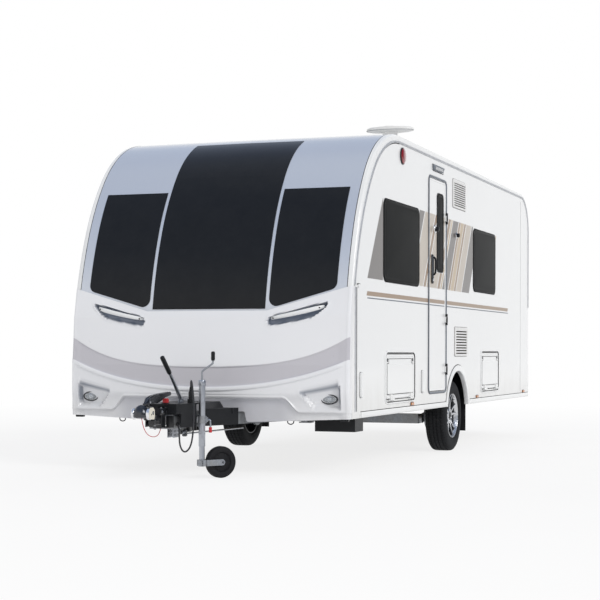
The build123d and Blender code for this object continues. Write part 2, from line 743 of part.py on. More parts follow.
def steady_legs():
    for name, s, y, d in steadies:
        x = s * steady_x
        leg = block((x - steady_width / 2, x + steady_width / 2), (y, y + d * steady_length),
                    (steady_z - steady_depth / 2, steady_z + steady_depth / 2))
        leg += rod((x - steady_width / 2, y, steady_z), (x + steady_width / 2, y, steady_z), steady_depth / 2)
        foot_y = y + d * (steady_length - steady_foot / 2)
        leg += block((x - steady_foot / 2, x + steady_foot / 2), (foot_y - steady_foot / 2, foot_y + steady_foot / 2),
                     (steady_z - steady_depth / 2 - 8, steady_z - steady_depth / 2))
        leg -= rod((x - steady_width, y, steady_z), (x + steady_width, y, steady_z), steady_pin + seated)
        put(name, leg)


# ---- drawbar ------------------------------------------------------------------------------------
def beam(side, hollow=0):
    """One drawbar beam, from the nose to the long members, or its hollow."""
    nose_x, nose_y = drawbar_nose
    middle_z = drawbar_z + beam_height / 2
    a = Vector(side * nose_x, nose_y, middle_z)
    b = Vector(side * (rail_x - beam_width / 2), rail_y[0] - nose_plate, middle_z)
    section = Rectangle(beam_height - 2 * hollow, beam_width - 2 * hollow)
    return extrude(Plane(origin=a, z_dir=b - a, x_dir=(0, 0, 1)) * section, amount=(b - a).length + 20)


def drawbar():
    nose_x, nose_y = drawbar_nose
    frame = fused([beam(1), beam(-1)])
    for z in (drawbar_z - nose_plate, drawbar_top):
        frame += block((-nose_x - 30, nose_x + 30), (nose_y - 4, nose_y + 215), (z, z + nose_plate))
    frame += block((-150, 150), cross_plate_y, (drawbar_top - nose_plate, drawbar_top))
    for s in (-1, 1):
        frame -= beam(s, beam_thick)
    for s in (-1, 1):
        frame += block((s * (rail_x - 90), s * (rail_x + 10)), (rail_y[0] - nose_plate, rail_y[0]),
                       (rail_bottom, floor_z))
    frame -= block((-700, 700), (rail_y[0], rail_y[0] + 100), (300, 500))
    put("drawbar_frame", frame)


def cover_outline(inset, rear):
    (xf, yf), (xm, ym), (xr, _) = cover_front, cover_middle, cover_rear
    right = [(xf - inset, yf + inset), (xm - inset, ym), (xr - inset, rear)]
    return make_face(Polyline(*right, *[(-x, y) for x, y in reversed(right)], close=True))


def cover_form(inset, past):
    """The cover's outer form, or its hollow, which runs past it below and behind."""
    low, high = cover_z
    half, shoulder, bevel = cover_shoulder
    rear = cover_rear[1] + past
    outline = cover_outline(inset, rear)
    form = extrude(Plane(origin=(0, 0, low - past)) * outline, amount=shoulder - inset - low + past)
    ridge = make_face(Polyline((-half - bevel + inset, shoulder - inset - 1), (-half + inset, high - inset),
                               (half - inset, high - inset), (half + bevel - inset, shoulder - inset - 1),
                               close=True))
    ridge = along_y(ridge, cover_front[1] + inset, rear)
    return form + (ridge & extrude(Plane(origin=(0, 0, shoulder - inset - 2)) * outline, amount=high - shoulder + 4))


def drawbar_cover():
    low, high = cover_z
    shoulder = cover_shoulder[1]
    cover = cover_form(0, 0) - cover_form(cover_skin, 1)
    plate_top = drawbar_top + nose_plate
    xf, yf = cover_front
    cover -= block((-xf - 12, xf + 12), (yf - 5, yf + 60), (low - 1, plate_top + 4))
    cover -= block((-housing_x - moving_gap, housing_x + moving_gap), (yf - 5, yf + 60),
                   (low - 1, housing_top + moving_gap))
    cover += block((-nose_reach, nose_reach), (yf + 90, yf + 100), (plate_top, high - 1))
    for s in (-1, 1):
        rib = block((s * 200, s * 300), (-3420, -3410), (drawbar_top, shoulder - 1))
        cover += rib
    half, ahead, behind = brake_slot
    cover -= block((-half, half), (brake_y + ahead, brake_y + behind), (low - 1, high + 1))
    cover -= block((120, 260), (jockey_y - 45, jockey_y + 45), (low - 1, jockey_clamp_z[1] + moving_gap))
    cover -= block((jockey_x - jockey_tube_radius - moving_gap, 260), (jockey_y - 45, jockey_y + 45), (low, high))
    put("drawbar_cover", cover)


def coupling():
    """The ball head with its socket open below, its neck, and the overrun housing behind it."""
    head = rod((0, ball_y, ball_z - 22), (0, ball_y, coupling_z + 47), head_radius)
    head = chamfer(head.faces().sort_by(Axis.Z)[-1].edges(), 18)
    head += block((-34, 34), (ball_y, housing_y[0] + 2), (ball_z - 12, coupling_z + 34))
    plate_top = drawbar_top + nose_plate
    head += block((-housing_x, housing_x), housing_y, (plate_top, housing_top))
    head += block((-housing_foot[0], housing_foot[0]), (housing_foot[1], drawbar_nose[1] - 4),
                  (drawbar_z, plate_top + 1))
    start, reach, radius = pad
    for s in (-1, 1):
        head += rod((s * start, ball_y, ball_z + 6), (s * reach, ball_y, ball_z + 6), radius)
    head -= Pos(0, ball_y, ball_z) * Sphere(ball_radius)
    head -= rod((0, ball_y, ball_z - 30), (0, ball_y, ball_z), ball_radius)
    put("coupling", head)

    lever = across(make_face(Polyline(*lever_shape, close=True)), -lever_half, lever_half)
    foot_y, long, wide = lever_foot
    lever += block((-wide, wide), (foot_y - long, foot_y + long), (coupling_z + 34, lever_shape[0][1] + 8))
    put("coupling_handle", lever)

    (y0, z0), (y1, z1), (y2, z2) = brake_points
    lever = block((-10, 10), (brake_y - 36, brake_y + 36), (drawbar_top, z0 + 8))
    lever += bent_bar([(0, y0, z0 - 12), (0, y1, z1), (0, y2, z2)], 11, 60)
    t = 0.12
    lever += rod((0, y1 + t * (y2 - y1), z1 + t * (z2 - z1)), (0, y2, z2), 17)
    put("brake_lever", lever)


def jockey():
    x, y = jockey_x, jockey_y
    low, high = jockey_tube_z
    tube = rod((x, y, low), (x, y, high), jockey_tube_radius)
    tube += rod((x, y, high - 40), (x, y, high), jockey_tube_radius + 5)
    clamp_low, clamp_high = jockey_clamp_z
    tube += rod((x, y, clamp_low), (x, y, clamp_high), jockey_tube_radius + 10)
    tube += block((drawbar_nose[0] + 60, x), (y - 32, y + 32), (clamp_low + 4, clamp_high - 4)) - beam(1)
    middle = (clamp_low + clamp_high) / 2
    screw_x = x + 66
    tube += bent_bar([(x + 28, y, middle), (screw_x, y, middle), (screw_x, y, 368)], 7, 18)
    tube += rod((screw_x, y, 332), (screw_x, y, 372), 12)
    tube += bent_bar([(x, y, high - 2), (x, y, high + 58), (x + crank_offset, y, 836),
                      (x + crank_offset, y, 856)], crank_radius, 14)
    tube += rod((x + crank_offset, y, 850), (x + crank_offset, y, 917), 15)
    tube -= rod((x, y, low - 1), (x, y, high - 14), jockey_stem_radius + seated)
    put("jockey_tube", tube)

    radius, collar_low, collar_high = jockey_collar
    stem = rod((x, y, collar_high + seated), (x, y, high - 20 - jockey_travel), jockey_stem_radius)
    stem += rod((x, y, collar_low), (x, y, collar_high + 1), jockey_spindle)
    put("jockey_stem", stem)

    turn = Pos(x, y, 0) * Rot(0, 0, jockey_heading)
    reach = jockey_wheel_width / 2 + moving_gap
    fork = rod((0, 0, collar_low), (0, 0, collar_high), radius)
    fork += block((-18, 20), (-reach - jockey_fork, reach + jockey_fork), (collar_low + 3, collar_high - 3))
    for s in (-1, 1):
        arm = block((-18, jockey_trail + 16), (s * reach, s * (reach + jockey_fork)),
                    (jockey_wheel_radius - 24, jockey_wheel_radius + 20))
        fork += arm
    half = reach + jockey_fork + 6
    fork += rod((jockey_trail, -half, jockey_wheel_radius), (jockey_trail, half, jockey_wheel_radius), jockey_axle)
    fork -= rod((0, 0, collar_low - 1), (0, 0, collar_high + 1), jockey_spindle + seated)
    put("jockey_fork", turn * fork)

    half = jockey_wheel_width / 2
    at = (jockey_trail, jockey_wheel_radius)
    wheel = rod((at[0], -half, at[1]), (at[0], half, at[1]), jockey_wheel_radius)
    wheel = fillet(wheel.edges().filter_by(GeomType.CIRCLE), 12)
    for s in (-1, 1):
        wheel -= rod((at[0], s * (half - 12), at[1]), (at[0], s * (half + 1), at[1]), 66)
        wheel += rod((at[0], s * (half - 14), at[1]), (at[0], s * half, at[1]), 22)
    wheel -= rod((at[0], -half - 1, at[1]), (at[0], half + 1, at[1]), jockey_axle + seated)
    put("jockey_wheel", turn * wheel)


# ---- cords and what they end in -----------------------------------------------------------------
def cord(points, radius):
    """A free cord as straight runs joined by arcs as wide as the runs allow."""
    runs = [Vector(*b) - Vector(*a) for a, b in zip(points, points[1:])]
    bends = [0.45 * min(r.length, q.length) / tan(radians(r.get_angle(q)) / 2) for r, q in zip(runs, runs[1:])]
    path = FilletPolyline(*points, radius=bends)
    return sweep(Plane(origin=path @ 0, z_dir=path % 0) * Circle(radius), path=path)


def cords():
    x, y, foot, radius = plug
    holder = rod((x, y, cover_z[1]), (x, y, foot + 26), radius + 8)
    holder -= rod((x, y, foot), (x, y, foot + 27), radius + seated)
    start, first = Vector(*lead_points[0]), Vector(*lead_points[1])
    back = (start - first).normalized()
    gland = rod(start + back * 25, start, lead_radius + 5) - beam(1)
    put("plug_holder", holder, gland)
    top = foot + plug_height
    body = rod((x, y, foot), (x, y, top), radius)
    end = lead_points[-1]
    boot = Pos(x, y, (top + end[2]) / 2) * Cone(radius, lead_radius + 2, end[2] - top)
    put("tow_plug", body + boot)
    put("tow_lead", cord(lead_points, lead_radius))
    put("breakaway_cable", cord(wire_points, wire_radius))


if __name__ == "__main__":
    body_panels()
    front_moulding()
    windows()
    door_and_hatches()
    lamps()
    wall_fittings()
    roof_and_rear_fittings()
    chassis()
    road_wheel(1, "near")
    road_wheel(-1, "off")
    steady_legs()
    drawbar()
    drawbar_cover()
    coupling()
    jockey()
    cords()
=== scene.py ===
"""Looks of the travel caravan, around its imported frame.

The row frame is in metres: +X is the door side, the coupling points to -Y, +Z is up.  Sizes of the
body's own details are written in millimetres counted from the road axle, and at() turns them into
points of the row frame.
"""

import json
from math import asin, atan2, cos, degrees, pi, radians, sin, sqrt

import bmesh
import bpy
from mathutils import Matrix, Vector


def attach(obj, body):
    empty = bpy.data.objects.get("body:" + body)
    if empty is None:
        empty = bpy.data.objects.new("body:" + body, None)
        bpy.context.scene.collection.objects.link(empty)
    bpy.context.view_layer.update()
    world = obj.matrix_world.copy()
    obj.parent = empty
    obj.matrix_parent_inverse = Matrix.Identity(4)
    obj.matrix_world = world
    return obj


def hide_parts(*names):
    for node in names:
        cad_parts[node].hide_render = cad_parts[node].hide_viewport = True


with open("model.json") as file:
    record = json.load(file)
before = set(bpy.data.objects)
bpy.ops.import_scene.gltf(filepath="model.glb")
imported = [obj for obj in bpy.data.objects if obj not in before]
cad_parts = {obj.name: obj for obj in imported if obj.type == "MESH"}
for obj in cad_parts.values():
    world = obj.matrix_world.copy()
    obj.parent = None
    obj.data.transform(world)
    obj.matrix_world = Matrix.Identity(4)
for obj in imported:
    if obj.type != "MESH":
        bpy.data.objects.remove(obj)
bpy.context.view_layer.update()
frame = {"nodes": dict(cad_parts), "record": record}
scene = bpy.context.scene
scene.view_settings.view_transform = "Standard"

AXLE_Y = 565               # the road axle, behind the middle of the vehicle
HALF_WIDTH = 1140          # outer faces of the body
REAR_Y = 3200              # its rear face
SIDES = (-1, 1)            # the off side and the near side
SUNK = -1                  # plates on a wall start this far under its face
ALONG_X, ALONG_Y, UP = Vector((1, 0, 0)), Vector((0, 1, 0)), Vector((0, 0, 1))


def at(x, y, z):
    """A point of the row frame, from millimetres counted from the road axle."""
    return Vector((x, y + AXLE_Y, z)) / 1000


# ---- camera -------------------------------------------------------------------------------------
PHOTO_SIZE = 600                           # pixels
PRINCIPAL = (300, 349.65)                  # where the camera's axis meets the picture, pixels
FOCAL = 1546.66                            # pixels
CAMERA_PLACE = (4.66307, -13.40633, 0.92181)
CAMERA_YAW, CAMERA_PITCH, CAMERA_ROLL = 0.34868, 0.00077, 0.0025
SENSOR = 36


def make_camera():
    """The camera of the photograph, in its fitted place."""
    data = bpy.data.cameras.new("camera")
    data.sensor_width = SENSOR
    data.lens = SENSOR * FOCAL / PHOTO_SIZE
    data.shift_y = (PRINCIPAL[1] - PHOTO_SIZE / 2) / PHOTO_SIZE
    data.clip_end = 200
    camera = bpy.data.objects.new("camera", data)
    scene.collection.objects.link(camera)
    scene.camera = camera
    reach = cos(CAMERA_PITCH)
    ahead = Vector((-sin(CAMERA_YAW) * reach, cos(CAMERA_YAW) * reach, sin(CAMERA_PITCH)))
    level = Vector((cos(CAMERA_YAW), sin(CAMERA_YAW), 0))
    above = level.cross(ahead)
    right = level * cos(CAMERA_ROLL) + above * sin(CAMERA_ROLL)
    up = above * cos(CAMERA_ROLL) - level * sin(CAMERA_ROLL)
    turn = Matrix((right, up, -ahead)).transposed().to_4x4()
    camera.matrix_world = Matrix.Translation(CAMERA_PLACE) @ turn


make_camera()


# ---- materials ----------------------------------------------------------------------------------
class Tree:
    """A node tree, with short ways to add and join its nodes."""

    def __init__(self, tree):
        self.tree = tree

    def add(self, kind, **settings):
        node = self.tree.nodes.new(kind)
        for key, value in settings.items():
            setattr(node, key, value)
        return node

    def join(self, out, socket):
        self.tree.links.new(out, socket)

    def ramp(self, value, *stops):
        """A colour ramp; each stop is its position and its colour."""
        node = self.add("ShaderNodeValToRGB")
        elements = node.color_ramp.elements
        while len(elements) < len(stops):
            elements.new(0.5)
        for element, (place, colour) in zip(elements, stops):
            element.position = place
            element.color = (*colour, 1)
        self.join(value, node.inputs["Fac"])
        return node.outputs["Color"]

    def mix(self, factor, a, b):
        """Blends two colours; each is an output or a plain colour."""
        node = self.add("ShaderNodeMix", data_type="RGBA")
        self.join(factor, node.inputs["Factor"])
        for value, socket in ((a, node.inputs["A"]), (b, node.inputs["B"])):
            if isinstance(value, tuple):
                socket.default_value = (*value, 1)
            else:
                self.join(value, socket)
        return node.outputs["Result"]

    def ranged(self, value, low, high, start=0.0, end=1.0, **settings):
        """Carries the range from start to end over to the range from low to high."""
        node = self.add("ShaderNodeMapRange", **settings)
        for key, number in (("From Min", start), ("From Max", end), ("To Min", low), ("To Max", high)):
            node.inputs[key].default_value = number
        self.join(value, node.inputs["Value"])
        return node.outputs["Result"]

    def maths(self, operation, a, b):
        """Works on two values; each is an output or a plain number."""
        node = self.add("ShaderNodeMath", operation=operation)
        for value, socket in ((a, node.inputs[0]), (b, node.inputs[1])):
            if isinstance(value, (int, float)):
                socket.default_value = value
            else:
                self.join(value, socket)
        return node.outputs[0]

    def grey(self, colour):
        """How light a colour is."""
        node = self.add("ShaderNodeRGBToBW")
        self.join(colour, node.inputs[0])
        return node.outputs[0]

    def along(self, vector, axis):
        """One of the three numbers of a vector."""
        node = self.add("ShaderNodeSeparateXYZ")
        self.join(vector, node.inputs[0])
        return node.outputs[axis]

    def highest(self, first, *others):
        for other in others:
            first = self.maths("MAXIMUM", first, other)
        return first


class Nodes(Tree):
    """A material's node tree, with its shader and the textures that lie in the piece's own space."""

    def __init__(self, name):
        self.material = bpy.data.materials.new(name)
        self.material.use_nodes = True
        super().__init__(self.material.node_tree)
        self.shader = self.tree.nodes["Principled BSDF"]
        self.place = self.add("ShaderNodeTexCoord").outputs["Object"]
        self.normal = None

    def stretched(self, scale):
        mapping = self.add("ShaderNodeMapping")
        mapping.inputs["Scale"].default_value = scale
        self.join(self.place, mapping.inputs["Vector"])
        return mapping.outputs["Vector"]

    def noise(self, scale, detail=3.0, rough=0.5, vector=None):
        node = self.add("ShaderNodeTexNoise")
        node.inputs["Scale"].default_value = scale
        node.inputs["Detail"].default_value = detail
        node.inputs["Roughness"].default_value = rough
        self.join(vector or self.place, node.inputs["Vector"])
        return node.outputs["Fac"]

    def voronoi(self, scale, output="Distance", vector=None):
        node = self.add("ShaderNodeTexVoronoi")
        node.inputs["Scale"].default_value = scale
        self.join(vector or self.place, node.inputs["Vector"])
        return node.outputs[output]

    def attribute(self, name):
        return self.add("ShaderNodeAttribute", attribute_name=name).outputs["Fac"]

    def bump(self, height, distance, strength):
        """Adds a bump to the shader, on top of those added before."""
        node = self.add("ShaderNodeBump")
        node.inputs["Distance"].default_value = distance
        node.inputs["Strength"].default_value = strength
        self.join(height, node.inputs["Height"])
        if self.normal:
            self.join(self.normal, node.inputs["Normal"])
        self.normal = node.outputs["Normal"]
        self.join(self.normal, self.shader.inputs["Normal"])

    def set(self, **values):
        """Sets or joins the shader's inputs; an underscore stands for a space in a name."""
        for key, value in values.items():
            socket = self.shader.inputs[key.replace("_", " ")]
            if isinstance(value, (int, float)):
                socket.default_value = value
            elif isinstance(value, tuple):
                socket.default_value = (*value, 1)
            else:
                self.join(value, socket)


ROAD_DIRT = (0.42, 0.39, 0.34)


def shade(colour, factor):
    """A colour made lighter or darker."""
    return tuple(min(1.0, c * factor) for c in colour)


def paint(name, colour, roughness=0.22, coat=0.5, dirt=0.0):
    """Glossy paint or gel coat: faint waviness, slow colour drift and, if asked, road film low down."""
    n = Nodes(name)
    drift = n.noise(1.3, 4)
    base = n.ramp(drift, (0.3, shade(colour, 0.99)), (0.7, shade(colour, 1.005)))
    if dirt:
        film = n.maths("MULTIPLY", n.noise(9, 6, 0.7, n.stretched((1, 1, 0.25))), dirt)
        reach = n.ranged(n.along(n.place, "Z"), 1.0, 0.0, 0.40, 0.75)
        base = n.mix(n.maths("MULTIPLY", film, reach), base, ROAD_DIRT)
    n.set(Base_Color=base, Roughness=n.ranged(n.noise(28, 5), roughness - 0.02, roughness + 0.03),
          Coat_Weight=coat, Coat_Roughness=0.06)
    n.bump(n.noise(46, 2), 0.0003, 0.02)
    return n.material


def silver_paint():
    """Metallic silver: flakes under a clear coat."""
    n = Nodes("silver_paint")
    flake = n.grey(n.voronoi(900, "Color"))
    base = n.ramp(flake, (0.0, (0.60, 0.63, 0.68)), (1.0, (0.72, 0.745, 0.79)))
    base = n.mix(n.ranged(n.noise(1.1, 3), 0.0, 0.08), base, (0.47, 0.52, 0.60))
    n.set(Base_Color=base, Metallic=0.55, Roughness=n.ranged(n.noise(30, 4), 0.27, 0.36), Coat_Weight=0.8,
          Coat_Roughness=0.05)
    n.bump(flake, 0.0002, 0.06)
    n.bump(n.noise(40, 2), 0.0003, 0.03)
    return n.material


def moulding_paint():
    """White gel coat with a lilac-grey band, and painted shade in the recesses and under the middle step,
    from the mesh's own masks.
    """
    n = Nodes("moulding_paint")
    drift = n.noise(1.7, 4)
    white = n.ramp(drift, (0.3, (0.83, 0.84, 0.865)), (0.7, (0.85, 0.858, 0.88)))
    band = n.ramp(n.noise(2.3, 4), (0.3, (0.54, 0.53, 0.57)), (0.7, (0.56, 0.55, 0.59)))
    base = n.mix(n.attribute("band"), white, band)
    # painted shade: the face under the step, near the middle, is painted grey
    base = n.mix(n.attribute("lower"), base, (0.60, 0.61, 0.66))
    # painted shade: dark in the handle recesses, and in the lamp recesses under their upper and outer edges
    base = n.mix(n.attribute("recess"), base, (0.16, 0.19, 0.25))
    film = n.maths("MULTIPLY", n.noise(8, 6, 0.7), n.attribute("film"))
    base = n.mix(n.maths("MULTIPLY", film, 0.35), base, (0.40, 0.38, 0.34))
    n.set(Base_Color=base, Roughness=n.ranged(n.noise(26, 5), 0.26, 0.31), Coat_Weight=0.7,
          Coat_Roughness=0.07)
    n.bump(n.noise(44, 2), 0.0003, 0.02)
    return n.material


def acrylic(name, colour, roughness=0.09, ior=1.3, level=0.5):
    """Dark window acrylic, very slightly wavy, with a trace of dust."""
    n = Nodes(name)
    dust = n.noise(6, 6, 0.75)
    base = n.ramp(dust, (0.35, colour), (0.85, tuple(c + 0.005 for c in colour)))
    n.set(Base_Color=base, Roughness=n.ranged(n.noise(3.5, 5), roughness, roughness + 0.05), IOR=ior,
          Specular_IOR_Level=level)
    n.bump(n.noise(2.2, 1), 0.004, 0.05)
    return n.material


def plastic(name, colour, roughness=0.5, grain=520, level=0.5):
    """Moulded plastic with a fine leather-like grain and scuffs that catch the light."""
    n = Nodes(name)
    scuff = n.noise(14, 7, 0.75)
    base = n.ramp(scuff, (0.35, colour), (0.8, tuple(min(1, c * 1.12 + 0.004) for c in colour)))
    n.set(Base_Color=base, Roughness=n.ranged(scuff, roughness - 0.08, roughness + 0.12),
          Specular_IOR_Level=level)
    n.bump(n.voronoi(grain), 0.0004, 0.35)
    return n.material


def galvanised(name, colour=(0.46, 0.48, 0.50), roughness=0.42):
    """Hot-dip zinc: spangle, dull patches and road dust."""
    n = Nodes(name)
    spangle = n.grey(n.voronoi(95, "Color"))
    base = n.ramp(spangle, (0.0, shade(colour, 0.82)), (1.0, shade(colour, 1.18)))
    base = n.mix(n.ranged(n.noise(7, 7, 0.7), 0.0, 0.75, 0.45, 0.8), base, (0.30, 0.28, 0.25))
    n.set(Base_Color=base, Metallic=0.75,
          Roughness=n.ranged(n.noise(11, 5), roughness - 0.08, roughness + 0.2))
    n.bump(n.noise(70, 5), 0.0006, 0.25)
    return n.material


def steel(name, colour, roughness=0.28, direction=(1, 1, 0.04), metallic=1.0):
    """Plated or drawn steel with fine drawn lines and small stains."""
    n = Nodes(name)
    lines = n.noise(420, 3, 0.6, n.stretched(direction))
    stain = n.noise(18, 6, 0.7)
    base = n.ramp(lines, (0.25, shade(colour, 0.86)), (0.75, shade(colour, 1.08)))
    base = n.mix(n.ranged(stain, 0.0, 0.6, 0.5, 0.85), base, shade(colour, 0.55))
    n.set(Base_Color=base, Metallic=metallic, Roughness=n.ranged(stain, roughness - 0.06, roughness + 0.16))
    n.bump(lines, 0.0003, 0.2)
    return n.material


def rubber(name, colour=(0.010, 0.010, 0.012), roughness=0.62):
    """Rubber with a dusty bloom and fine pitting."""
    n = Nodes(name)
    bloom = n.noise(11, 7, 0.72)
    base = n.ramp(bloom, (0.35, colour), (0.85, tuple(c + 0.012 for c in colour)))
    n.set(Base_Color=base, Roughness=n.ranged(bloom, roughness - 0.06, roughness + 0.16),
          Specular_IOR_Level=0.2)
    n.bump(n.noise(380, 4), 0.0004, 0.3)
    return n.material


def lens(name, colour, roughness=0.12, pitch=0.012, clear=0.25):
    """Moulded lamp lens: small prisms under a smooth face."""
    n = Nodes(name)
    ribs = n.add("ShaderNodeTexWave", wave_type="BANDS", bands_direction="Z")
    ribs.inputs["Scale"].default_value = 0.31 / pitch
    n.join(n.place, ribs.inputs["Vector"])
    cells = n.voronoi(1.2 / pitch)
    base = n.ramp(cells, (0.0, shade(colour, 1.15)), (0.6, shade(colour, 0.72)))
    n.set(Base_Color=base, Roughness=n.ranged(n.noise(30, 4), roughness, roughness + 0.08), Coat_Weight=1.0,
          Coat_Roughness=0.03, Transmission_Weight=clear, IOR=1.49)
    n.bump(ribs.outputs["Fac"], 0.0008, 0.3)
    return n.material


def plywood():
    """Sealed underside of the floor: ply grain under a dull grey-brown coat."""
    n = Nodes("plywood")
    grain = n.noise(26, 6, 0.6, n.stretched((6, 0.5, 6)))
    base = n.ramp(grain, (0.3, (0.20, 0.16, 0.12)), (0.7, (0.36, 0.29, 0.21)))
    n.set(Base_Color=base, Roughness=n.ranged(grain, 0.55, 0.8))
    n.bump(grain, 0.0008, 0.3)
    return n.material


WHITE = (0.86, 0.87, 0.87)
LOOKS = {                  # every material, by the short name that Form and CAD_MATERIALS use
    "white": paint("white_paint", WHITE, dirt=0.5),
    "white_plain": paint("white_gloss", WHITE),
    "moulding": moulding_paint(),
    "silver": silver_paint(),
    "window": acrylic("window_acrylic", (0.009, 0.010, 0.012)),
    "side_window": acrylic("side_window_acrylic", (0.008, 0.009, 0.009), 0.16, 1.12, 0.1),
    # also used as painted shade: the dark ring in each hatch's gap, the line round a hatch's raised middle,
    # and the plates round the side pulls' feet
    "seal": rubber("window_seal", (0.012, 0.012, 0.014), 0.5),
    "black": plastic("black_plastic", (0.007, 0.008, 0.010), 0.36, level=0.24),
    "grey": plastic("grey_plastic", (0.17, 0.19, 0.22), 0.45),
    "vent": plastic("vent_plastic", (0.78, 0.78, 0.77), 0.35, 700),
    # painted shade: the dark plate behind the vents' slats and the dark ring round their rims
    "vent_shade": plastic("vent_painted_shade", (0.045, 0.036, 0.030), 0.7, level=0.1),
    "zinc": galvanised("galvanised", (0.33, 0.35, 0.38)),
    "steel": steel("zinc_plated", (0.43, 0.45, 0.49)),
    "dark_steel": steel("dark_chrome", (0.085, 0.088, 0.095), 0.2, (1, 1, 1)),
    "chrome": steel("bright_chrome", (0.80, 0.81, 0.83), 0.1, (1, 1, 1)),
    "cast": galvanised("cast_silver", (0.60, 0.61, 0.60), 0.36),
    "cream": plastic("cream_plastic", (0.72, 0.68, 0.58), 0.35),
    "black_steel": paint("black_enamel", (0.010, 0.011, 0.013), 0.28, 0.15),
    "red": plastic("red_plastic", (0.52, 0.020, 0.025), 0.35),
    "rubber": rubber("black_rubber"),
    "tyre": rubber("tyre_rubber", (0.012, 0.013, 0.015), 0.66),
    "alloy": steel("machined_alloy", (0.66, 0.67, 0.69), 0.22, (1, 30, 30)),
    "rim_dark": paint("rim_paint", (0.020, 0.022, 0.027), 0.3, 0.1),
    "trim": steel("trim_alloy", (0.62, 0.63, 0.65), 0.3, (1, 0.04, 0.04), 0.85),
    "amber": lens("amber_lens", (0.90, 0.30, 0.035)),
    "lamp_red": lens("red_lens", (0.42, 0.010, 0.014)),
    "clear": lens("clear_lens", (0.72, 0.76, 0.80), 0.06, 0.009, 0.75),
    "dome": lens("rooflight_acrylic", (0.70, 0.74, 0.76), 0.1, 0.3, 0.35),
    "ply": plywood(),
    "cable": plastic("cable_sheath", (0.018, 0.018, 0.020), 0.4, 900),
    "cable_red": plastic("red_sheath", (0.50, 0.035, 0.045), 0.35, 1400),
    "bronze": paint("bronze_film", (0.30, 0.195, 0.11), 0.3, 0.3),
    "gold": paint("gold_film", (0.50, 0.39, 0.25), 0.3, 0.3),
    "taupe": paint("taupe_film", (0.155, 0.14, 0.13), 0.3, 0.3),
    "pale": paint("pale_film", (0.52, 0.46, 0.385), 0.3, 0.3),
}

CAD_MATERIALS = {          # the record's material slots and their looks
    "floor_ply": "ply", "wall_white": "white", "panel_silver": "silver", "moulding_white": "white",
    "window_dark": "window", "rooflight_acrylic": "dome", "black_plastic": "black", "alloy_trim": "trim",
    "vent_white": "vent", "lamp_clear": "clear", "lamp_amber": "amber", "lamp_red": "lamp_red",
    "handle_white": "white_plain", "hinge_white": "white_plain", "rubber_black": "rubber",
    "galvanised": "zinc", "cast_silver": "cast", "black_steel": "black_steel", "zinc_steel": "steel",
    "cable_black": "cable", "cable_red": "cable_red", "tyre": "tyre", "alloy_rim": "alloy",
}


def dress_frame():
    """Every CAD node gets the procedural material of its slot."""
    slots = {row["node"]: row["material_slot"] for row in frame["record"]["subparts"]}
    for name, node in frame["nodes"].items():
        node.data.materials.clear()
        node.data.materials.append(LOOKS[CAD_MATERIALS[slots[name]]])


dress_frame()


# ---- made surfaces ------------------------------------------------------------------------------
SHARPEST = 0.35            # keeps the corners of an inset outline from running away
THINNEST = 0.02            # smallest radius of a turned shape


def turns(steps):
    """The angles of a full turn, in equal steps."""
    return [2 * pi * i / steps for i in range(steps)]


def inset(outline, distance):
    """A closed outline with every side moved inwards (counter-clockwise outlines)."""
    moved = []
    count = len(outline)
    for i in range(count):
        a, b, c = outline[i - 1], outline[i], outline[(i + 1) % count]
        before = Vector((b[0] - a[0], b[1] - a[1])).normalized()
        after = Vector((c[0] - b[0], c[1] - b[1])).normalized()
        across = Vector((-before.y - after.y, before.x + after.x))
        share = max(SHARPEST, across.length_squared / 2)
        moved.append((b[0] + across.x * distance / share, b[1] + across.y * distance / share))
    return moved


def rounded(u0, u1, v0, v1, radius, steps=6):
    """A rounded rectangle's outline, counter-clockwise."""
    radius = min(radius, (u1 - u0) / 2 - 0.01, (v1 - v0) / 2 - 0.01)
    points = []
    for cu, cv, start in ((u1 - radius, v0 + radius, -90), (u1 - radius, v1 - radius, 0),
                          (u0 + radius, v1 - radius, 90), (u0 + radius, v0 + radius, 180)):
        for i in range(steps + 1):
            angle = radians(start + 90 * i / steps)
            points.append((cu + radius * cos(angle), cv + radius * sin(angle)))
    return points


def centred(u, v, half_wide, half_tall, radius, steps=6):
    """A rounded rectangle's outline round its middle."""
    return rounded(u - half_wide, u + half_wide, v - half_tall, v + half_tall, radius, steps)


def box_outline(u0, u1, v0, v1):
    """A plain rectangle's outline, counter-clockwise."""
    return [(u0, v0), (u1, v0), (u1, v1), (u0, v1)]


def within(rect, margin):
    """A rectangle (low and high, low and high) with every side moved inwards."""
    return rect[0] + margin, rect[1] - margin, rect[2] + margin, rect[3] - margin


def grown(rect, margin, corner):
    """A rounded rectangle's outline around another one."""
    return rounded(*within(rect, -margin), max(corner + margin, corner * 0.2))


def side_plane(side):
    """Maps (Y, Z, distance out) to a point on a side wall."""
    return lambda u, v, w: at(side * (HALF_WIDTH + w), u, v)


def rear_plane(side):
    """Maps (X towards one side, Z, distance out) to a point on the rear face."""
    return lambda u, v, w: at(side * u, REAR_Y + w, v)


def upright_plane(x):
    """Maps (Y, Z, distance towards the near side) to a point of a plate that stands at X."""
    return lambda u, v, w: at(x + w, u, v)


def cross_plane(u, v, w):
    """Maps (X, Z, Y) to a point."""
    return at(u, w, v)


near_wall = side_plane(1)
rear_wall = rear_plane(1)


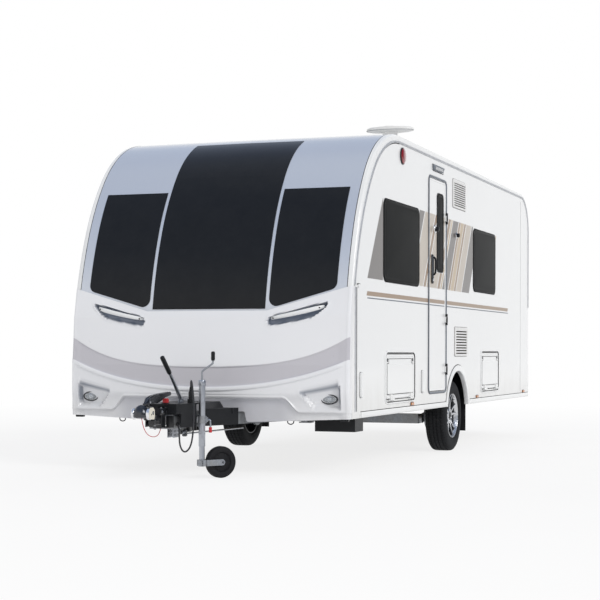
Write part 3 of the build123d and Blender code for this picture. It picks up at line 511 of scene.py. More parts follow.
class Form:
    """A mesh put together from made surfaces; kind says which of its materials a surface has."""

    def __init__(self, *materials):
        self.materials = materials
        self.points, self.faces, self.kinds = [], [], []
        self.masks = {}

    def add(self, points, faces, kind=0):
        start = len(self.points)
        self.points += [tuple(p) for p in points]
        self.faces += [tuple(start + i for i in face) for face in faces]
        self.kinds += [kind] * len(faces)

    def loops(self, rows, kind=0, closed=True, caps=(True, True), around=False):
        """Skins rows of points; closed rows are rings, and around joins the last row to the first."""
        count = len(rows[0])
        points = [p for row in rows for p in row]
        faces = []
        for r in range(len(rows) if around else len(rows) - 1):
            a, b = r * count, (r + 1) % len(rows) * count
            for i in range(count if closed else count - 1):
                j = (i + 1) % count
                faces.append((a + i, a + j, b + j, b + i))
        if closed and not around:
            if caps[0]:
                faces.append(tuple(range(count - 1, -1, -1)))
            if caps[1]:
                faces.append(tuple((len(rows) - 1) * count + i for i in range(count)))
        self.add(points, faces, kind)

    def stack(self, rows, place, kind=0, **how):
        """Skins rows of (outline, level), which place() turns into points."""
        self.loops([[place(u, v, w) for u, v in outline] for outline, w in rows], kind, **how)

    def prism(self, outline, place, low, high, edge=2.0, kind=0):
        """A plate from low to high, its outer edge rounded."""
        rows = [(outline, low), (outline, high - edge), (inset(outline, edge * 0.3), high - edge * 0.3),
                (inset(outline, edge), high), (inset(outline, edge * 1.5), high)]
        self.stack(rows, place, kind)

    def frame(self, outer, inner, place, low, high, edge=2.0, kind=0):
        """A flat ring between two outlines with as many points, its outer edges rounded."""
        rows = [(outer, low), (outer, high - edge), (inset(outer, edge), high),
                (inset(inner, -edge), high), (inner, high - edge), (inner, low)]
        self.stack(rows, place, kind, around=True)

    def turned(self, origin, axis, profile, kind=0, steps=32, caps=(True, True)):
        """A profile of (radius, distance along the axis), in millimetres, turned about the axis."""
        axis = Vector(axis).normalized()
        first = axis.orthogonal().normalized()
        second = axis.cross(first)
        rows = []
        for radius, along in profile:
            ring = []
            for angle in turns(steps):
                out = first * cos(angle) + second * sin(angle)
                ring.append(origin + (axis * along + out * max(radius, THINNEST)) / 1000)
            rows.append(ring)
        self.loops(rows, kind, caps=caps)

    def tube(self, path, radius, kind=0, steps=12):
        """A round bar along points of the row frame; the radius is in millimetres."""
        heading = (path[1] - path[0]).normalized()
        first = heading.orthogonal().normalized()
        rows = []
        for i, point in enumerate(path):
            ahead = path[min(i + 1, len(path) - 1)] - path[max(i - 1, 0)]
            ahead.normalize()
            first = (first - ahead * first.dot(ahead)).normalized()
            second = ahead.cross(first)
            rows.append([point + (first * cos(angle) + second * sin(angle)) * radius / 1000
                         for angle in turns(steps)])
        self.loops(rows, kind)

    def block(self, x, y, z, edge=2.0, kind=0):
        """A box with rounded edges, from ranges in millimetres from the axle."""
        outline = rounded(min(x), max(x), min(y), max(y), edge * 1.5, 3)
        rows = [(inset(outline, edge), min(z)), (outline, min(z) + edge), (outline, max(z) - edge),
                (inset(outline, edge), max(z))]
        self.stack(rows, at, kind)

    def bolt(self, origin, axis, radius=7, height=5, kind=0):
        """A hexagon head on a washer, size in millimetres."""
        self.turned(origin, axis, [(radius * 1.5, 0), (radius * 1.5, 1.5), (radius, 1.6)], kind, 20)
        self.turned(origin, axis, [(radius, 1.5), (radius, height - 1), (radius * 0.85, height)], kind, 6)

    def screw(self, origin, kind):
        """A small round screw head on the rear face."""
        self.turned(origin, ALONG_Y, [(4, 0), (4, 2), (2.5, 2.6)], kind, 14)

    def make(self, name, body="root", slot=None, replaces=(), sharp=35.0, closed=True):
        """Builds the piece; its edges are sharp from that angle, and closed forms face outwards."""
        mesh = bpy.data.meshes.new(name)
        mesh.from_pydata(self.points, [], self.faces)
        if closed:
            work = bmesh.new()
            work.from_mesh(mesh)
            bmesh.ops.recalc_face_normals(work, faces=work.faces)
            work.to_mesh(mesh)
            work.free()
        for material in self.materials:
            mesh.materials.append(LOOKS[material])
        mesh.polygons.foreach_set("material_index", self.kinds)
        for mask, values in self.masks.items():
            layer = mesh.attributes.new(mask, "FLOAT", "POINT")
            layer.data.foreach_set("value", values)
        mesh.validate()
        mesh.shade_smooth()
        mesh.polygons.foreach_set("use_smooth", [len(face) < 5 for face in self.faces])
        mesh.set_sharp_from_angle(angle=radians(sharp))
        piece = bpy.data.objects.new(name, mesh)
        scene.collection.objects.link(piece)
        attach(piece, body)
        if replaces:
            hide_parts(*replaces)
        return piece


def curved(points, steps=6):
    """A smooth line of points (Catmull-Rom) through a few."""
    ends = [points[0] * 2 - points[1]] + list(points) + [points[-1] * 2 - points[-2]]
    line = []
    for a, b, c, d in zip(ends, ends[1:], ends[2:], ends[3:]):
        for i in range(steps):
            t = i / steps
            line.append(0.5 * (2 * b + (c - a) * t + (2 * a - 5 * b + 4 * c - d) * t ** 2
                               + (3 * b - a - 3 * c + d) * t ** 3))
    line.append(points[-1].copy())
    return line


# ---- cords --------------------------------------------------------------------------------------
LEAD_RADIUS = 6
LEAD_POINTS = ((104, -3975, 402), (150, -4040, 388), (170, -4082, 330), (178, -4090, 250), (206, -4076, 204),
               (238, -4048, 236), (250, -4028, 320), (238, -3985, 440), (212, -3926, 550), (182, -3876, 640),
               (158, -3842, 702), (132, -3800, 708), (132, -3800, 664))
PLUG = (132, -3800, 548, 17)               # X, Y, foot, radius
PLUG_HEIGHT = 80
PLUG_RIBS = 12
WIRE_RADIUS = 2.5
WIRE_POINTS = ((17, -4368, 455.8), (29, -4372, 400), (44, -4348, 350), (47, -4284, 326), (40, -4200, 320),
               (27, -4120, 331), (15, -4070, 352), (10, -4045, 374.8))


def cord_curve(name, points, radius, material):
    """A round cord along points, in millimetres, as a curve."""
    data = bpy.data.curves.new(name, "CURVE")
    data.dimensions = "3D"
    data.bevel_depth = radius / 1000
    data.bevel_resolution = 5
    data.resolution_u = 12
    data.use_fill_caps = True
    spline = data.splines.new("NURBS")
    spline.points.add(len(points) - 1)
    for point, place in zip(spline.points, points):
        point.co = (*at(*place), 1)
    spline.order_u = 3
    spline.use_endpoint_u = True
    data.materials.append(LOOKS[material])
    piece = bpy.data.objects.new(name, data)
    scene.collection.objects.link(piece)
    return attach(piece, "root")


def towing_plug():
    """The ribbed plug and its stepped boot, which ends where the lead comes down to it."""
    x, y, foot, radius = PLUG
    boot_top = LEAD_POINTS[-1][2] - foot
    plug = Form("black")
    body = [(radius - 3, 0), (radius - 0.5, 2), (radius - 0.5, 24), (radius - 3, 25), (radius - 3, 29),
            (radius - 0.2, 30), (radius - 0.2, PLUG_HEIGHT - 6), (radius - 3, PLUG_HEIGHT)]
    plug.turned(at(x, y, foot), UP, body, 0, 36)
    for turn in turns(PLUG_RIBS):
        rib = at(x, y, foot + 34) + Vector((cos(turn), sin(turn), 0)) * (radius - 1.4) / 1000
        plug.tube([rib, rib + UP * 0.036], 1.1, 0, 6)
    boot = [(radius - 3, PLUG_HEIGHT)]
    for i in range(6):
        low = PLUG_HEIGHT + (boot_top - PLUG_HEIGHT) * i / 6
        wide = radius - 4 - (radius - 4 - LEAD_RADIUS - 1.5) * i / 6
        boot += [(wide, low + 0.8), (wide, low + 3.8), (wide - 1.2, low + 4.2)]
    boot.append((LEAD_RADIUS + 0.3, boot_top))
    plug.turned(at(x, y, foot), UP, boot, 0, 28)
    return plug.make("towing_plug", slot="black_plastic", replaces=["tow_plug"])


def lead_sleeve():
    """The ribbed sleeve on the lead where it leaves the drawbar."""
    start, second = at(*LEAD_POINTS[0]), at(*LEAD_POINTS[1])
    profile = [(LEAD_RADIUS + 4.5, -24), (LEAD_RADIUS + 4.5, -2)]
    for i in range(5):
        wide = LEAD_RADIUS + 4 - 3 * i / 5
        profile += [(wide, i * 5), (wide, i * 5 + 3.4), (wide - 1.1, i * 5 + 3.8)]
    profile.append((LEAD_RADIUS + 0.4, 26))
    sleeve = Form("black")
    sleeve.turned(start, second - start, profile, 0, 24)
    return sleeve.make("lead_strain_relief", slot="black_plastic")


def make_cords():
    """The towing lead with its plug and sleeve, and the breakaway wire."""
    plug_piece = towing_plug()
    relief_piece = lead_sleeve()
    lead = cord_curve("towing_lead", LEAD_POINTS, LEAD_RADIUS, "cable")
    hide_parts("tow_lead")
    wire = cord_curve("breakaway_wire", WIRE_POINTS, WIRE_RADIUS, "cable_red")
    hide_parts("breakaway_cable")


make_cords()


# ---- body outline -------------------------------------------------------------------------------
FRONT_Y = -3190
REAR_RADIUS = 380
LEAN_Z = 816               # the front edge is upright below this height
FRONT_ARCS = ((2600, 20), (1800, 22), (1000, 48))      # radius, turn in degrees, from the bottom up
CROWN_Y = -3217            # the same for the front and roof skin, which stands over the side walls
CROWN_ARCS = ((2684, 22.4), (1840, 16.2), (1010, 51.4))
CROWN_REAR = 22
CROWN_PLACES = ((1140, 0.9), (1118, 1.0), (0, 1.1))    # distance from the middle, share of the crown there
FRONT_JOINT_Y = -1936


def front_profile(step=2.0, crown=0.0):
    """The leaning front edge as (Y, Z, direction in degrees from straight up), from the bottom up."""
    arcs = [(r + crown * (cr - r), t + crown * (ct - t)) for (r, t), (cr, ct) in zip(FRONT_ARCS, CROWN_ARCS)]
    y, z, lean = FRONT_Y + crown * (CROWN_Y - FRONT_Y) + arcs[0][0], LEAN_Z, 0.0
    line = []
    for number, (radius, turn) in enumerate(arcs):
        count = round(FRONT_ARCS[number][1] / step)
        for i in range(count + (number == len(arcs) - 1)):
            angle = radians(lean + turn * i / count)
            line.append((y - radius * cos(angle), z + radius * sin(angle), lean + turn * i / count))
        lean += turn
        if number + 1 < len(arcs):
            change = radius - arcs[number + 1][0]
            y -= change * cos(radians(lean))
            z += change * sin(radians(lean))
    return line


def crown_share(x):
    """How much of the crown there is at a distance from the middle."""
    x = abs(x)
    for (x0, share0), (x1, share1) in zip(CROWN_PLACES, CROWN_PLACES[1:]):
        if x >= x1:
            return share1 + (share0 - share1) * min(1.0, (x - x1) / (x0 - x1))
    return CROWN_PLACES[-1][1]


ROOF_Z = front_profile()[-1][1]
FRONT_EDGE = front_profile(0.5)


def front_edge_y(z):
    """Where the front edge of the side walls is at a height."""
    if z <= FRONT_EDGE[0][1]:
        return FRONT_Y
    for (y0, z0, _), (y1, z1, _) in zip(FRONT_EDGE, FRONT_EDGE[1:]):
        if z <= z1:
            return y0 + (y1 - y0) * (z - z0) / (z1 - z0)
    return FRONT_EDGE[-1][0]


# ---- lower front moulding -----------------------------------------------------------------------
# height, and how far the moulding stands out there in the middle and at its ends
MOULDING_SECTIONS = ((390, 118, 34), (545, 125, 37), (600, 150, 47), (816, 140, 44), (1180, 84, 37),
                     (1410, 46, 33))
MOULDING_CORNER = 30       # how much of its half width the turned corner takes
MOULDING_SIDE = 24         # how far it stands out at the side wall
ARC_HALF = HALF_WIDTH - MOULDING_CORNER
MOULDING_FOOT = ((400, 392), (1120, 420))              # its lower edge: distance from the middle, Z
NOTCH, NOTCH_HEIGHT = 335, 78                          # cut-out over the drawbar: half width, height
SEAM_Z, SEAM_RISE, SEAM_BREAK = 1222, 0.283, 491       # its upper edge rises from the break outwards
RETURN_DEPTH = 32          # how far the side returns reach behind the walls' front edge
CORNER_STEPS = 8
ROW_COUNTS = (12, 14, 10, 18, 16, 10, 44)              # rows between the marks of row_heights()
LIP_FILM = 0.6             # how much road film is on the lip and the returns


def smooth(low, high, value):
    """Rises from 0 at low to 1 at high, without a kink; low may be the larger of the two."""
    t = max(0.0, min(1.0, (value - low) / (high - low)))
    return t * t * (3 - 2 * t)


def seam_z(x):
    """The moulding's upper edge."""
    return SEAM_Z + SEAM_RISE * max(0, abs(x) - SEAM_BREAK)


def band_top_z(x):
    """The upper edge of the lilac-grey band."""
    x = abs(x) / 1000
    return 799 + 65 * x ** 2 + 87 * x ** 4


def rib_z(x):
    """The raised rib under the band."""
    x = abs(x) / 1000
    return 634 + 130 * x ** 2 + 25 * x ** 4


def step_z(x):
    """The step under which the moulding lies further in."""
    return 572 - 105 * smooth(640, 775, abs(x))


def foot_z(x):
    """The moulding's lower edge, with the cut-out over the drawbar."""
    (x0, z0), (x1, z1) = MOULDING_FOOT
    foot = z0 + (z1 - z0) * max(0.0, min(1.0, (abs(x) - x0) / (x1 - x0)))
    return foot + NOTCH_HEIGHT * smooth(NOTCH + 22, NOTCH + 2, abs(x))


def section_at(z):
    """How far the moulding stands out in the middle and at its ends, and the wall's edge, at a height."""
    for low, high in zip(MOULDING_SECTIONS, MOULDING_SECTIONS[1:]):
        if z <= high[0]:
            break
    t = (z - low[0]) / (high[0] - low[0])
    edge = front_edge_y(low[0]) * (1 - t) + front_edge_y(high[0]) * t
    return low[1] + t * (high[1] - low[1]), low[2] + t * (high[2] - low[2]), edge


def moulding_y(x, z):
    """The moulding's plain form: at each height an arc across, through its ends and its middle."""
    middle, end, edge = section_at(z)
    rise = middle - end
    radius = (ARC_HALF * ARC_HALF + rise * rise) / (2 * rise)
    return edge - (middle - radius + sqrt(max(radius * radius - x * x, 0)))


def circle_centre(a, b, c):
    """The middle of the circle through three points."""
    (x0, y0), (x1, y1), (x2, y2) = a, b, c
    d = 2 * (x0 * (y1 - y2) + x1 * (y2 - y0) + x2 * (y0 - y1))
    a0, a1, a2 = x0 * x0 + y0 * y0, x1 * x1 + y1 * y1, x2 * x2 + y2 * y2
    return ((a0 * (y1 - y2) + a1 * (y2 - y0) + a2 * (y0 - y1)) / d,
            (a0 * (x2 - x1) + a1 * (x0 - x2) + a2 * (x1 - x0)) / d)


def corner_point(z, share):
    """A point on the near corner at a height: share 0 is the end of the front arc, 1 is at the side."""
    _, end, edge = section_at(z)
    first = (ARC_HALF, edge - end)
    last = (HALF_WIDTH, edge - MOULDING_SIDE)
    between = (last[0] - 0.28 * MOULDING_CORNER, last[1] - 0.75 * (end - MOULDING_SIDE))
    cx, cy = circle_centre(first, between, last)
    start, stop = atan2(first[1] - cy, first[0] - cx), atan2(last[1] - cy, last[0] - cx)
    if stop < start:
        stop += 2 * pi
    radius = sqrt((first[0] - cx) ** 2 + (first[1] - cy) ** 2)
    angle = start + (stop - start) * share
    return cx + radius * cos(angle), cy + radius * sin(angle)


def inside(shape, x, z):
    """Signed distance to a convex outline given clockwise seen from the front; positive inside."""
    nearest = 1e9
    for (x0, z0), (x1, z1) in zip(shape, shape[1:] + shape[:1]):
        length = sqrt((x1 - x0) ** 2 + (z1 - z0) ** 2)
        nearest = min(nearest, ((x1 - x0) * (z0 - z) - (x0 - x) * (z1 - z0)) / length)
    return nearest


# recesses: outline (X, Z) clockwise, depth, width of the sloping side
HANDLE_RECESS = ([(512, 1172), (560, 1190), (945, 1284), (968, 1280), (950, 1246), (903, 1204), (842, 1164),
                  (674, 1130), (534, 1107), (508, 1118), (502, 1145)], 40, 9)
LAMP_RECESS = ([(771, 614), (1047, 670), (1070, 667), (1079, 655), (1079, 515), (1066, 500), (880, 500),
                (858, 512)], 46, 15)


def lamp_shadow(x, z, distance):
    """How dark the lamp recess is: only under its upper and outer edges."""
    under_edge = smooth(0, 5, distance) * smooth(26, 14, distance)
    upper = smooth(-40, 0, z - 606 - 0.2 * (abs(x) - 771))
    outer = smooth(1050, 1062, abs(x)) * smooth(505, 530, z)
    return under_edge * max(upper, outer) * 0.8


def relief(x, z):
    """How far the moulding's face lies in from its plain form, and its masks (band, recess, lower), of which
    recess and lower are painted shade.
    """
    rib, top, step = rib_z(x), band_top_z(x), step_z(x)
    calm = 1 - 0.85 * smooth(1050, 1112, abs(x))       # the creases fade towards the corners
    below = smooth(4, -14, z - step)
    depth = -9 * calm * (1 - smooth(8, 24, abs(z - rib)))
    depth += 7 * calm * smooth(6, -12, z - top) * smooth(0, 40, z - rib)
    depth += 20 * below * calm
    depth -= 5 * calm * (1 - smooth(3, 14, abs(z - step - 6)))
    band = smooth(5, -5, z - top) * smooth(12, 20, z - rib)
    recess = 0.0
    for shape, deep, slope in (HANDLE_RECESS, LAMP_RECESS):
        distance = inside(shape, abs(x), z)
        if distance > -14:
            depth += deep * smooth(0, slope, distance) - 4 * (1 - smooth(2, 12, abs(distance + 3)))
            # the recess mask is painted shade: all of a handle recess, and a lamp recess under its upper and
            # outer edges
            shadow = smooth(1, 5, distance) if shape is HANDLE_RECESS[0] else lamp_shadow(x, z, distance)
            recess = max(recess, shadow)
    return depth, band, recess, below


def row_heights(x):
    """Heights of the moulding's rows at a place across, from the top down; rows follow the creases."""
    marks = (foot_z(x), step_z(x) - 16, step_z(x) + 18, rib_z(x) - 26, rib_z(x) + 26, band_top_z(x) - 14,
             band_top_z(x) + 10, seam_z(x))
    heights = []
    for low, high, count in zip(marks, marks[1:], ROW_COUNTS):
        heights += [low + (high - low) * i / count for i in range(count)]
    return [seam_z(x)] + heights[::-1]


def arc_column(side, x):
    """A column of the front arc: (X, Y, X and Y of the way out, Z)."""
    slope = x / (ARC_HALF * ARC_HALF) * 180
    return [(side * x, moulding_y(x, z), side * slope, -1, z) for z in row_heights(x)]


def corner_column(side, x, share):
    """A column of the turned corner, written as in arc_column()."""
    turn = radians(20 + 65 * share)
    column = []
    for z in row_heights(x):
        px, py = corner_point(z, share)
        column.append((side * px, py, side * sin(turn), -cos(turn), z))
    return column


def half_columns(side):
    """The columns of one half as (distance from the middle, points), from the middle outwards."""
    across = []
    x = 0.0
    while x < ARC_HALF:
        across.append(x)
        x += 11 if x < 500 else 5.2
    across.append(ARC_HALF)
    columns = [(x, arc_column(side, x)) for x in across]
    for i in range(1, CORNER_STEPS + 1):
        share = i / CORNER_STEPS
        x = ARC_HALF + MOULDING_CORNER * 0.75 * share
        columns.append((x, corner_column(side, x, share)))
    return columns


def front_moulding():
    """The moulding's face with its masks, and its columns of points from the top down."""
    form = Form("moulding")
    form.masks = {"band": [], "recess": [], "lower": [], "film": []}
    columns = []
    for x, points in half_columns(-1)[::-1] + half_columns(1)[1:]:
        column = []
        for px, py, out_x, out_y, z in points:
            depth, band, recess, lower = relief(x, z)
            column.append(at(px - out_x * depth, py - out_y * depth, z))
            form.masks["band"].append(band)
            # recess and lower carry painted shade: in the recesses, and under the step near the middle
            form.masks["recess"].append(recess)
            form.masks["lower"].append(lower * smooth(800, 600, x))
            form.masks["film"].append(smooth(700, 430, z))
        columns.append(column)
    form.loops(columns, 0, closed=False)
    return form, columns


def make_moulding():
    """The face, the turned-in lip under it and its side returns, which give it a thickness."""
    form, columns = front_moulding()
    face_points = len(form.points)
    lip = []
    for column in columns:
        foot = column[-1]
        lip.append([foot, foot + Vector((0, 0.026, 0.006)), foot + Vector((0, 0.03, 0.03))])
    form.loops(lip, 0, closed=False)
    for column in (columns[0], columns[-1]):
        back = [Vector((p.x, (front_edge_y(p.z * 1000) + RETURN_DEPTH + AXLE_Y) / 1000, p.z)) for p in column]
        rows = [column, back] if column is columns[-1] else [back, column]
        form.loops(rows, 0, closed=False)
    for key, values in form.masks.items():
        values.extend([LIP_FILM if key == "film" else 0.0] * (len(form.points) - face_points))
    form.make("front_moulding", slot="moulding_white", replaces=["front_moulding_lower"], sharp=50,
              closed=False)


make_moulding()


# ---- upper front, its corner trims and its joint lines ------------------------------------------
TRIM_X = 1101              # the silver ends here
CORNER_RADIUS = 13
SKIN_STEPS = 70            # rows from the moulding to the roof joint
ROOF_STEPS = 60            # and from there to the foot of the rear corner


def skin_line(crown, step=0.5):
    """The skin's own profile from the front edge over the roof to the rear face."""
    line = front_profile(step, crown)
    last_y, last_z = line[-1][0], line[-1][1]
    over_y, over_z = REAR_Y - REAR_RADIUS, ROOF_Z + crown * CROWN_REAR
    for i in range(1, 25):
        line.append((last_y + (over_y - last_y) * i / 24, last_z + (over_z - last_z) * i / 24, 90.0))
    for i in range(1, 17):
        angle = radians(90 * (1 - i / 16))
        z = ROOF_Z - REAR_RADIUS + (REAR_RADIUS + crown * CROWN_REAR) * sin(angle)
        line.append((over_y + REAR_RADIUS * cos(angle), z, 180 - degrees(angle)))
    return line


def skin_point(line, place, x, out):
    """A point over the skin: place counts the profile's points, out is measured square to it."""
    index = min(int(place), len(line) - 2)
    t = place - index
    y, z, lean = (line[index][k] + (line[index + 1][k] - line[index][k]) * t for k in range(3))
    lean = radians(lean)
    return at(x, y - out * cos(lean), z + out * sin(lean))


def place_where(line, key, value):
    """Where along a profile its Y (key 0) or Z (key 1) reaches a value, on the rising front part."""
    for i, (a, b) in enumerate(zip(line, line[1:])):
        if a[key] <= value <= b[key] and b[key] > a[key]:
            return i + (value - a[key]) / (b[key] - a[key])
    return 0.0


CROWN_LINES = {}


def crown_line(share):
    """The skin's profile for a share of the crown, worked out once for each."""
    key = round(share, 4)
    if key not in CROWN_LINES:
        CROWN_LINES[key] = skin_line(key)
    return CROWN_LINES[key]


def smooth_share(x):
    """The crown with its two slopes blended, never outside the built form by more than a hair."""
    return crown_share(x) + 0.012 * sin(pi * min(1.0, abs(x) / CROWN_PLACES[1][0]))


def corner_section():
    """From the silver's edge round the corner and down the flank: (X, out, share of the crown)."""
    start, radius = HALF_WIDTH - CORNER_RADIUS, CORNER_RADIUS + 1
    section = [(TRIM_X, -1.5, None), (TRIM_X + 1.5, 1.0, None), (start, 1.0, None)]
    for i in range(1, 7):
        angle = radians(90 * i / 6)
        section.append((start + radius * sin(angle), 1.0 - radius * (1 - cos(angle)), 0.9))
    return section + [(HALF_WIDTH + 1, 4.0, 0.0), (HALF_WIDTH + 0.2, -8.0, 0.0)]


def rise_along(line, low_z):
    """Places along a profile from a height on the front up to the roof joint."""
    start, end = place_where(line, 1, low_z), place_where(line, 0, FRONT_JOINT_Y)
    return [start + (end - start) * i / SKIN_STEPS for i in range(SKIN_STEPS + 1)]


def front_skin():
    """The silver panel between the moulding and the roof, and the dark joints at its sides."""
    form = Form("silver", "seal")
    rows = []
    for x in [-TRIM_X] + [x * 36.7 for x in range(-29, 30)] + [TRIM_X]:
        line = crown_line(smooth_share(x))
        rows.append([skin_point(line, place, x, 0.4) for place in rise_along(line, seam_z(x) - 4)])
    form.loops(rows, 0, closed=False)
    for side in SIDES:
        joint = []
        for x, out in ((TRIM_X - 4.5, 0.2), (TRIM_X - 4, 0.9), (TRIM_X - 0.2, 0.9), (TRIM_X, -1.0)):
            line = crown_line(crown_share(x))
            joint.append([skin_point(line, place, side * x, out) for place in rise_along(line, seam_z(x))])
        rings = list(zip(*joint))
        form.loops(rings if side < 0 else [ring[::-1] for ring in rings], 1, closed=False)
    form.make("front_skin", slot="panel_silver", replaces=["front_panel_upper"], sharp=30, closed=False)


def trim_places(line):
    """Places along a profile from the moulding to the roof joint and on to the foot of the rear corner."""
    joint, last = place_where(line, 0, FRONT_JOINT_Y), len(line) - 1.001
    roof = [joint + (last - joint) * i / ROOF_STEPS for i in range(1, ROOF_STEPS + 1)]
    return rise_along(line, seam_z(TRIM_X) + 2) + roof


def corner_trims():
    """The white trims from the moulding up the front corners and over the roof's edges."""
    for side, name in ((-1, "corner_trim_off"), (1, "corner_trim_near")):
        form = Form("white_plain")
        strips = []
        for x, out, share in corner_section():
            line = crown_line(crown_share(x) if share is None else share)
            strips.append([skin_point(line, place, side * x, out) for place in trim_places(line)])
        rings = list(zip(*strips))
        form.loops(rings if side > 0 else [ring[::-1] for ring in rings], 0, closed=False)
        form.make(name, slot="wall_white", sharp=30, closed=False)


front_skin()
corner_trims()


# ---- windows ------------------------------------------------------------------------------------
# side, ranges of Y and Z
SIDE_WINDOWS = ((1, (-2377, -1335, 1470, 2119)), (1, (588, 1545, 1502, 2102)),
                (-1, (-2377, -1335, 1470, 2119)), (-1, (-760, 240, 1560, 2119)),
                (-1, (900, 1750, 1502, 2102)))
REAR_WINDOW = (-420, 420, 1560, 2080)      # ranges of X and Z
WINDOW_RADIUS = 60
DOOR_WINDOW = (-755, -550, 1629, 2308)     # ranges of Y and Z
# (inset, distance out): rounded edge, printed border, a fine step and the slightly raised middle
PANE_ROWS = ((0, -22), (0, -1), (1.2, 2), (4, 4), (30, 4.9), (32, 4.1), (36, 4.3), (70, 5.2))


def pane(form, rect, place, corner):
    """One window pane."""
    form.stack([(grown(rect, -margin, corner), w) for margin, w in PANE_ROWS], place)


def side_panes():
    """The panes of the fixed walls, each with a thin dark seal."""
    form = Form("side_window", "seal")
    walls = [(side_plane(side), rect) for side, rect in SIDE_WINDOWS] + [(rear_wall, REAR_WINDOW)]
    for place, rect in walls:
        pane(form, rect, place, WINDOW_RADIUS)
        form.frame(grown(rect, 7, WINDOW_RADIUS), grown(rect, 0.5, WINDOW_RADIUS), place, -2, 2.2, 1, 1)
    form.make("side_panes", slot="window_dark", replaces=["side_windows"])


def door_pane():
    """The door's window and the seal round it."""
    door = Form("side_window")
    pane(door, DOOR_WINDOW, near_wall, WINDOW_RADIUS * 0.5)
    door.make("door_pane", body="door", slot="window_dark", replaces=["door_window"])
    ring = Form("seal")
    corner = WINDOW_RADIUS * 0.6
    ring.frame(grown(DOOR_WINDOW, 11, corner), grown(DOOR_WINDOW, -0.2, corner), near_wall, -2, 5, 2)
    ring.make("door_window_seal", body="door")


# ---- door ---------------------------------------------------------------------------------------
DOOR = (-1027, -464, 569, 2433)            # ranges of Y and Z
OPENING_RADIUS = 45
LEAF_RADIUS = 39
LEAF_GAP = 6               # the leaf of a door or hatch is this much smaller than its opening
DOOR_LEAF = within(DOOR, LEAF_GAP)
LOCK = (-950, -890, 1510, 1765)            # ranges of Y and Z
GRIP_Y = -920
GRIP_PATH = ((10, 1588), (22, 1592), (31, 1606), (33, 1640), (33, 1690), (31, 1722), (22, 1736),
             (10, 1740))   # distance out, Z
STAY_Z = 1991
DOOR_HINGES = (760, 1205, 2110)            # Z
HINGE_OUT = 14             # the hinge axes stand this far from the wall
HINGE_Y = -467


def door_surround():
    """The frame round the doorway; at the hinges it keeps clear of the turning sleeves."""
    form = Form("grey", "seal")
    around = (DOOR[0] - 3, DOOR[1] + 15, DOOR[2] - 3, DOOR[3] + 3)
    inner, middle = grown(around, 0, OPENING_RADIUS), grown(around, 15, OPENING_RADIUS)
    form.frame(middle, inner, near_wall, -2, 9, 3, 0)
    form.frame(grown(around, 18, OPENING_RADIUS), grown(around, 14, OPENING_RADIUS), near_wall, -2, 2, 1, 1)
    form.make("door_surround")


def door_edging():
    """The door's white rim, and the gasket behind it."""
    edge = Form("white_plain")
    edge.frame(grown(DOOR_LEAF, 0, LEAF_RADIUS), grown(DOOR_LEAF, -17, LEAF_RADIUS), near_wall, SUNK, 2.5,
               1.5)
    edge.make("door_edging", body="door", slot="wall_white")
    gasket = Form("seal")
    gasket.frame(grown(DOOR_LEAF, -0.5, LEAF_RADIUS), grown(DOOR_LEAF, -14, LEAF_RADIUS), near_wall, -31, -29,
                 0.5)
    gasket.make("door_gasket", body="door")


def door_lock():
    """The lock's plate with a bright rim, the grip over it and the key's cylinder."""
    form = Form("black", "chrome", "grey")
    y0, y1, z0, z1 = LOCK
    form.prism(rounded(*LOCK, 26), near_wall, SUNK, 11, 4)
    form.frame(rounded(y0 + 8, y1 - 8, z0 + 62, z1 - 12, 18), rounded(y0 + 14, y1 - 14, z0 + 68, z1 - 18, 14),
               near_wall, 9, 14, 1.5, 2)
    form.tube(curved([near_wall(GRIP_Y, z, out) for out, z in GRIP_PATH], 4), 8.5, 0, 16)
    form.turned(near_wall(GRIP_Y, 1545, 10), ALONG_X, [(15, 0), (15, 4), (13, 6), (6, 6.4)], 1, 28)
    form.block((HALF_WIDTH + 15, HALF_WIDTH + 16.6), (GRIP_Y - 1.4, GRIP_Y + 1.4), (1538, 1552), 0.5, 0)
    form.make("door_lock_and_handle", body="door", slot="black_plastic", replaces=["door_handle"])


def door_stay():
    """The knob on the door and the catch on the wall that holds it open."""
    stay, spot = Form("black", "chrome"), near_wall(-830, STAY_Z, 0)
    stay.turned(spot, ALONG_X, [(36, -1), (36, 5), (33, 9), (26, 10)], 1, 36)
    stay.turned(spot, ALONG_X, [(20, 8), (22, 18), (26, 24), (25, 33), (18, 38), (8, 39.5)], 0, 32)
    stay.make("door_stay_knob", body="door")
    catch, spot = Form("black", "chrome"), near_wall(-58, STAY_Z, 0)
    catch.turned(spot, ALONG_X, [(28, -1), (28, 4), (25, 7)], 1, 32)
    catch.turned(spot, ALONG_X, [(18, 5), (20, 22), (17, 29), (8, 31)], 0, 28)
    catch.make("door_stay_catch")


# ---- hatches ------------------------------------------------------------------------------------
HATCHES = (("locker_door_front", 1, (-2310, -1481, 535, 902)), ("locker_door_rear", 1, (931, 1686, 545, 913)),
           ("cassette_door", -1, (2150, 2560, 560, 930)), ("battery_door", -1, (-1560, -1160, 560, 830)))


def notched(rect, notch):
    """A rectangle whose upper corners step in round the locks, counter-clockwise."""
    u0, u1, v0, v1 = rect
    deep = notch * 0.8
    return [(u0, v0), (u1, v0), (u1, v1 - deep), (u1 - notch, v1 - deep), (u1 - notch, v1), (u0 + notch, v1),
            (u0 + notch, v1 - deep), (u0, v1 - deep)]


def line_along(form, outline, place, high, width, kind):
    """A thin raised line round an outline of straight runs."""
    h = width / 2
    for (u0, v0), (u1, v1) in zip(outline, outline[1:] + outline[:1]):
        run = box_outline(min(u0, u1) - h, max(u0, u1) + h, min(v0, v1) - h, max(v0, v1) + h)
        form.prism(run, place, SUNK, high, 0.4, kind)


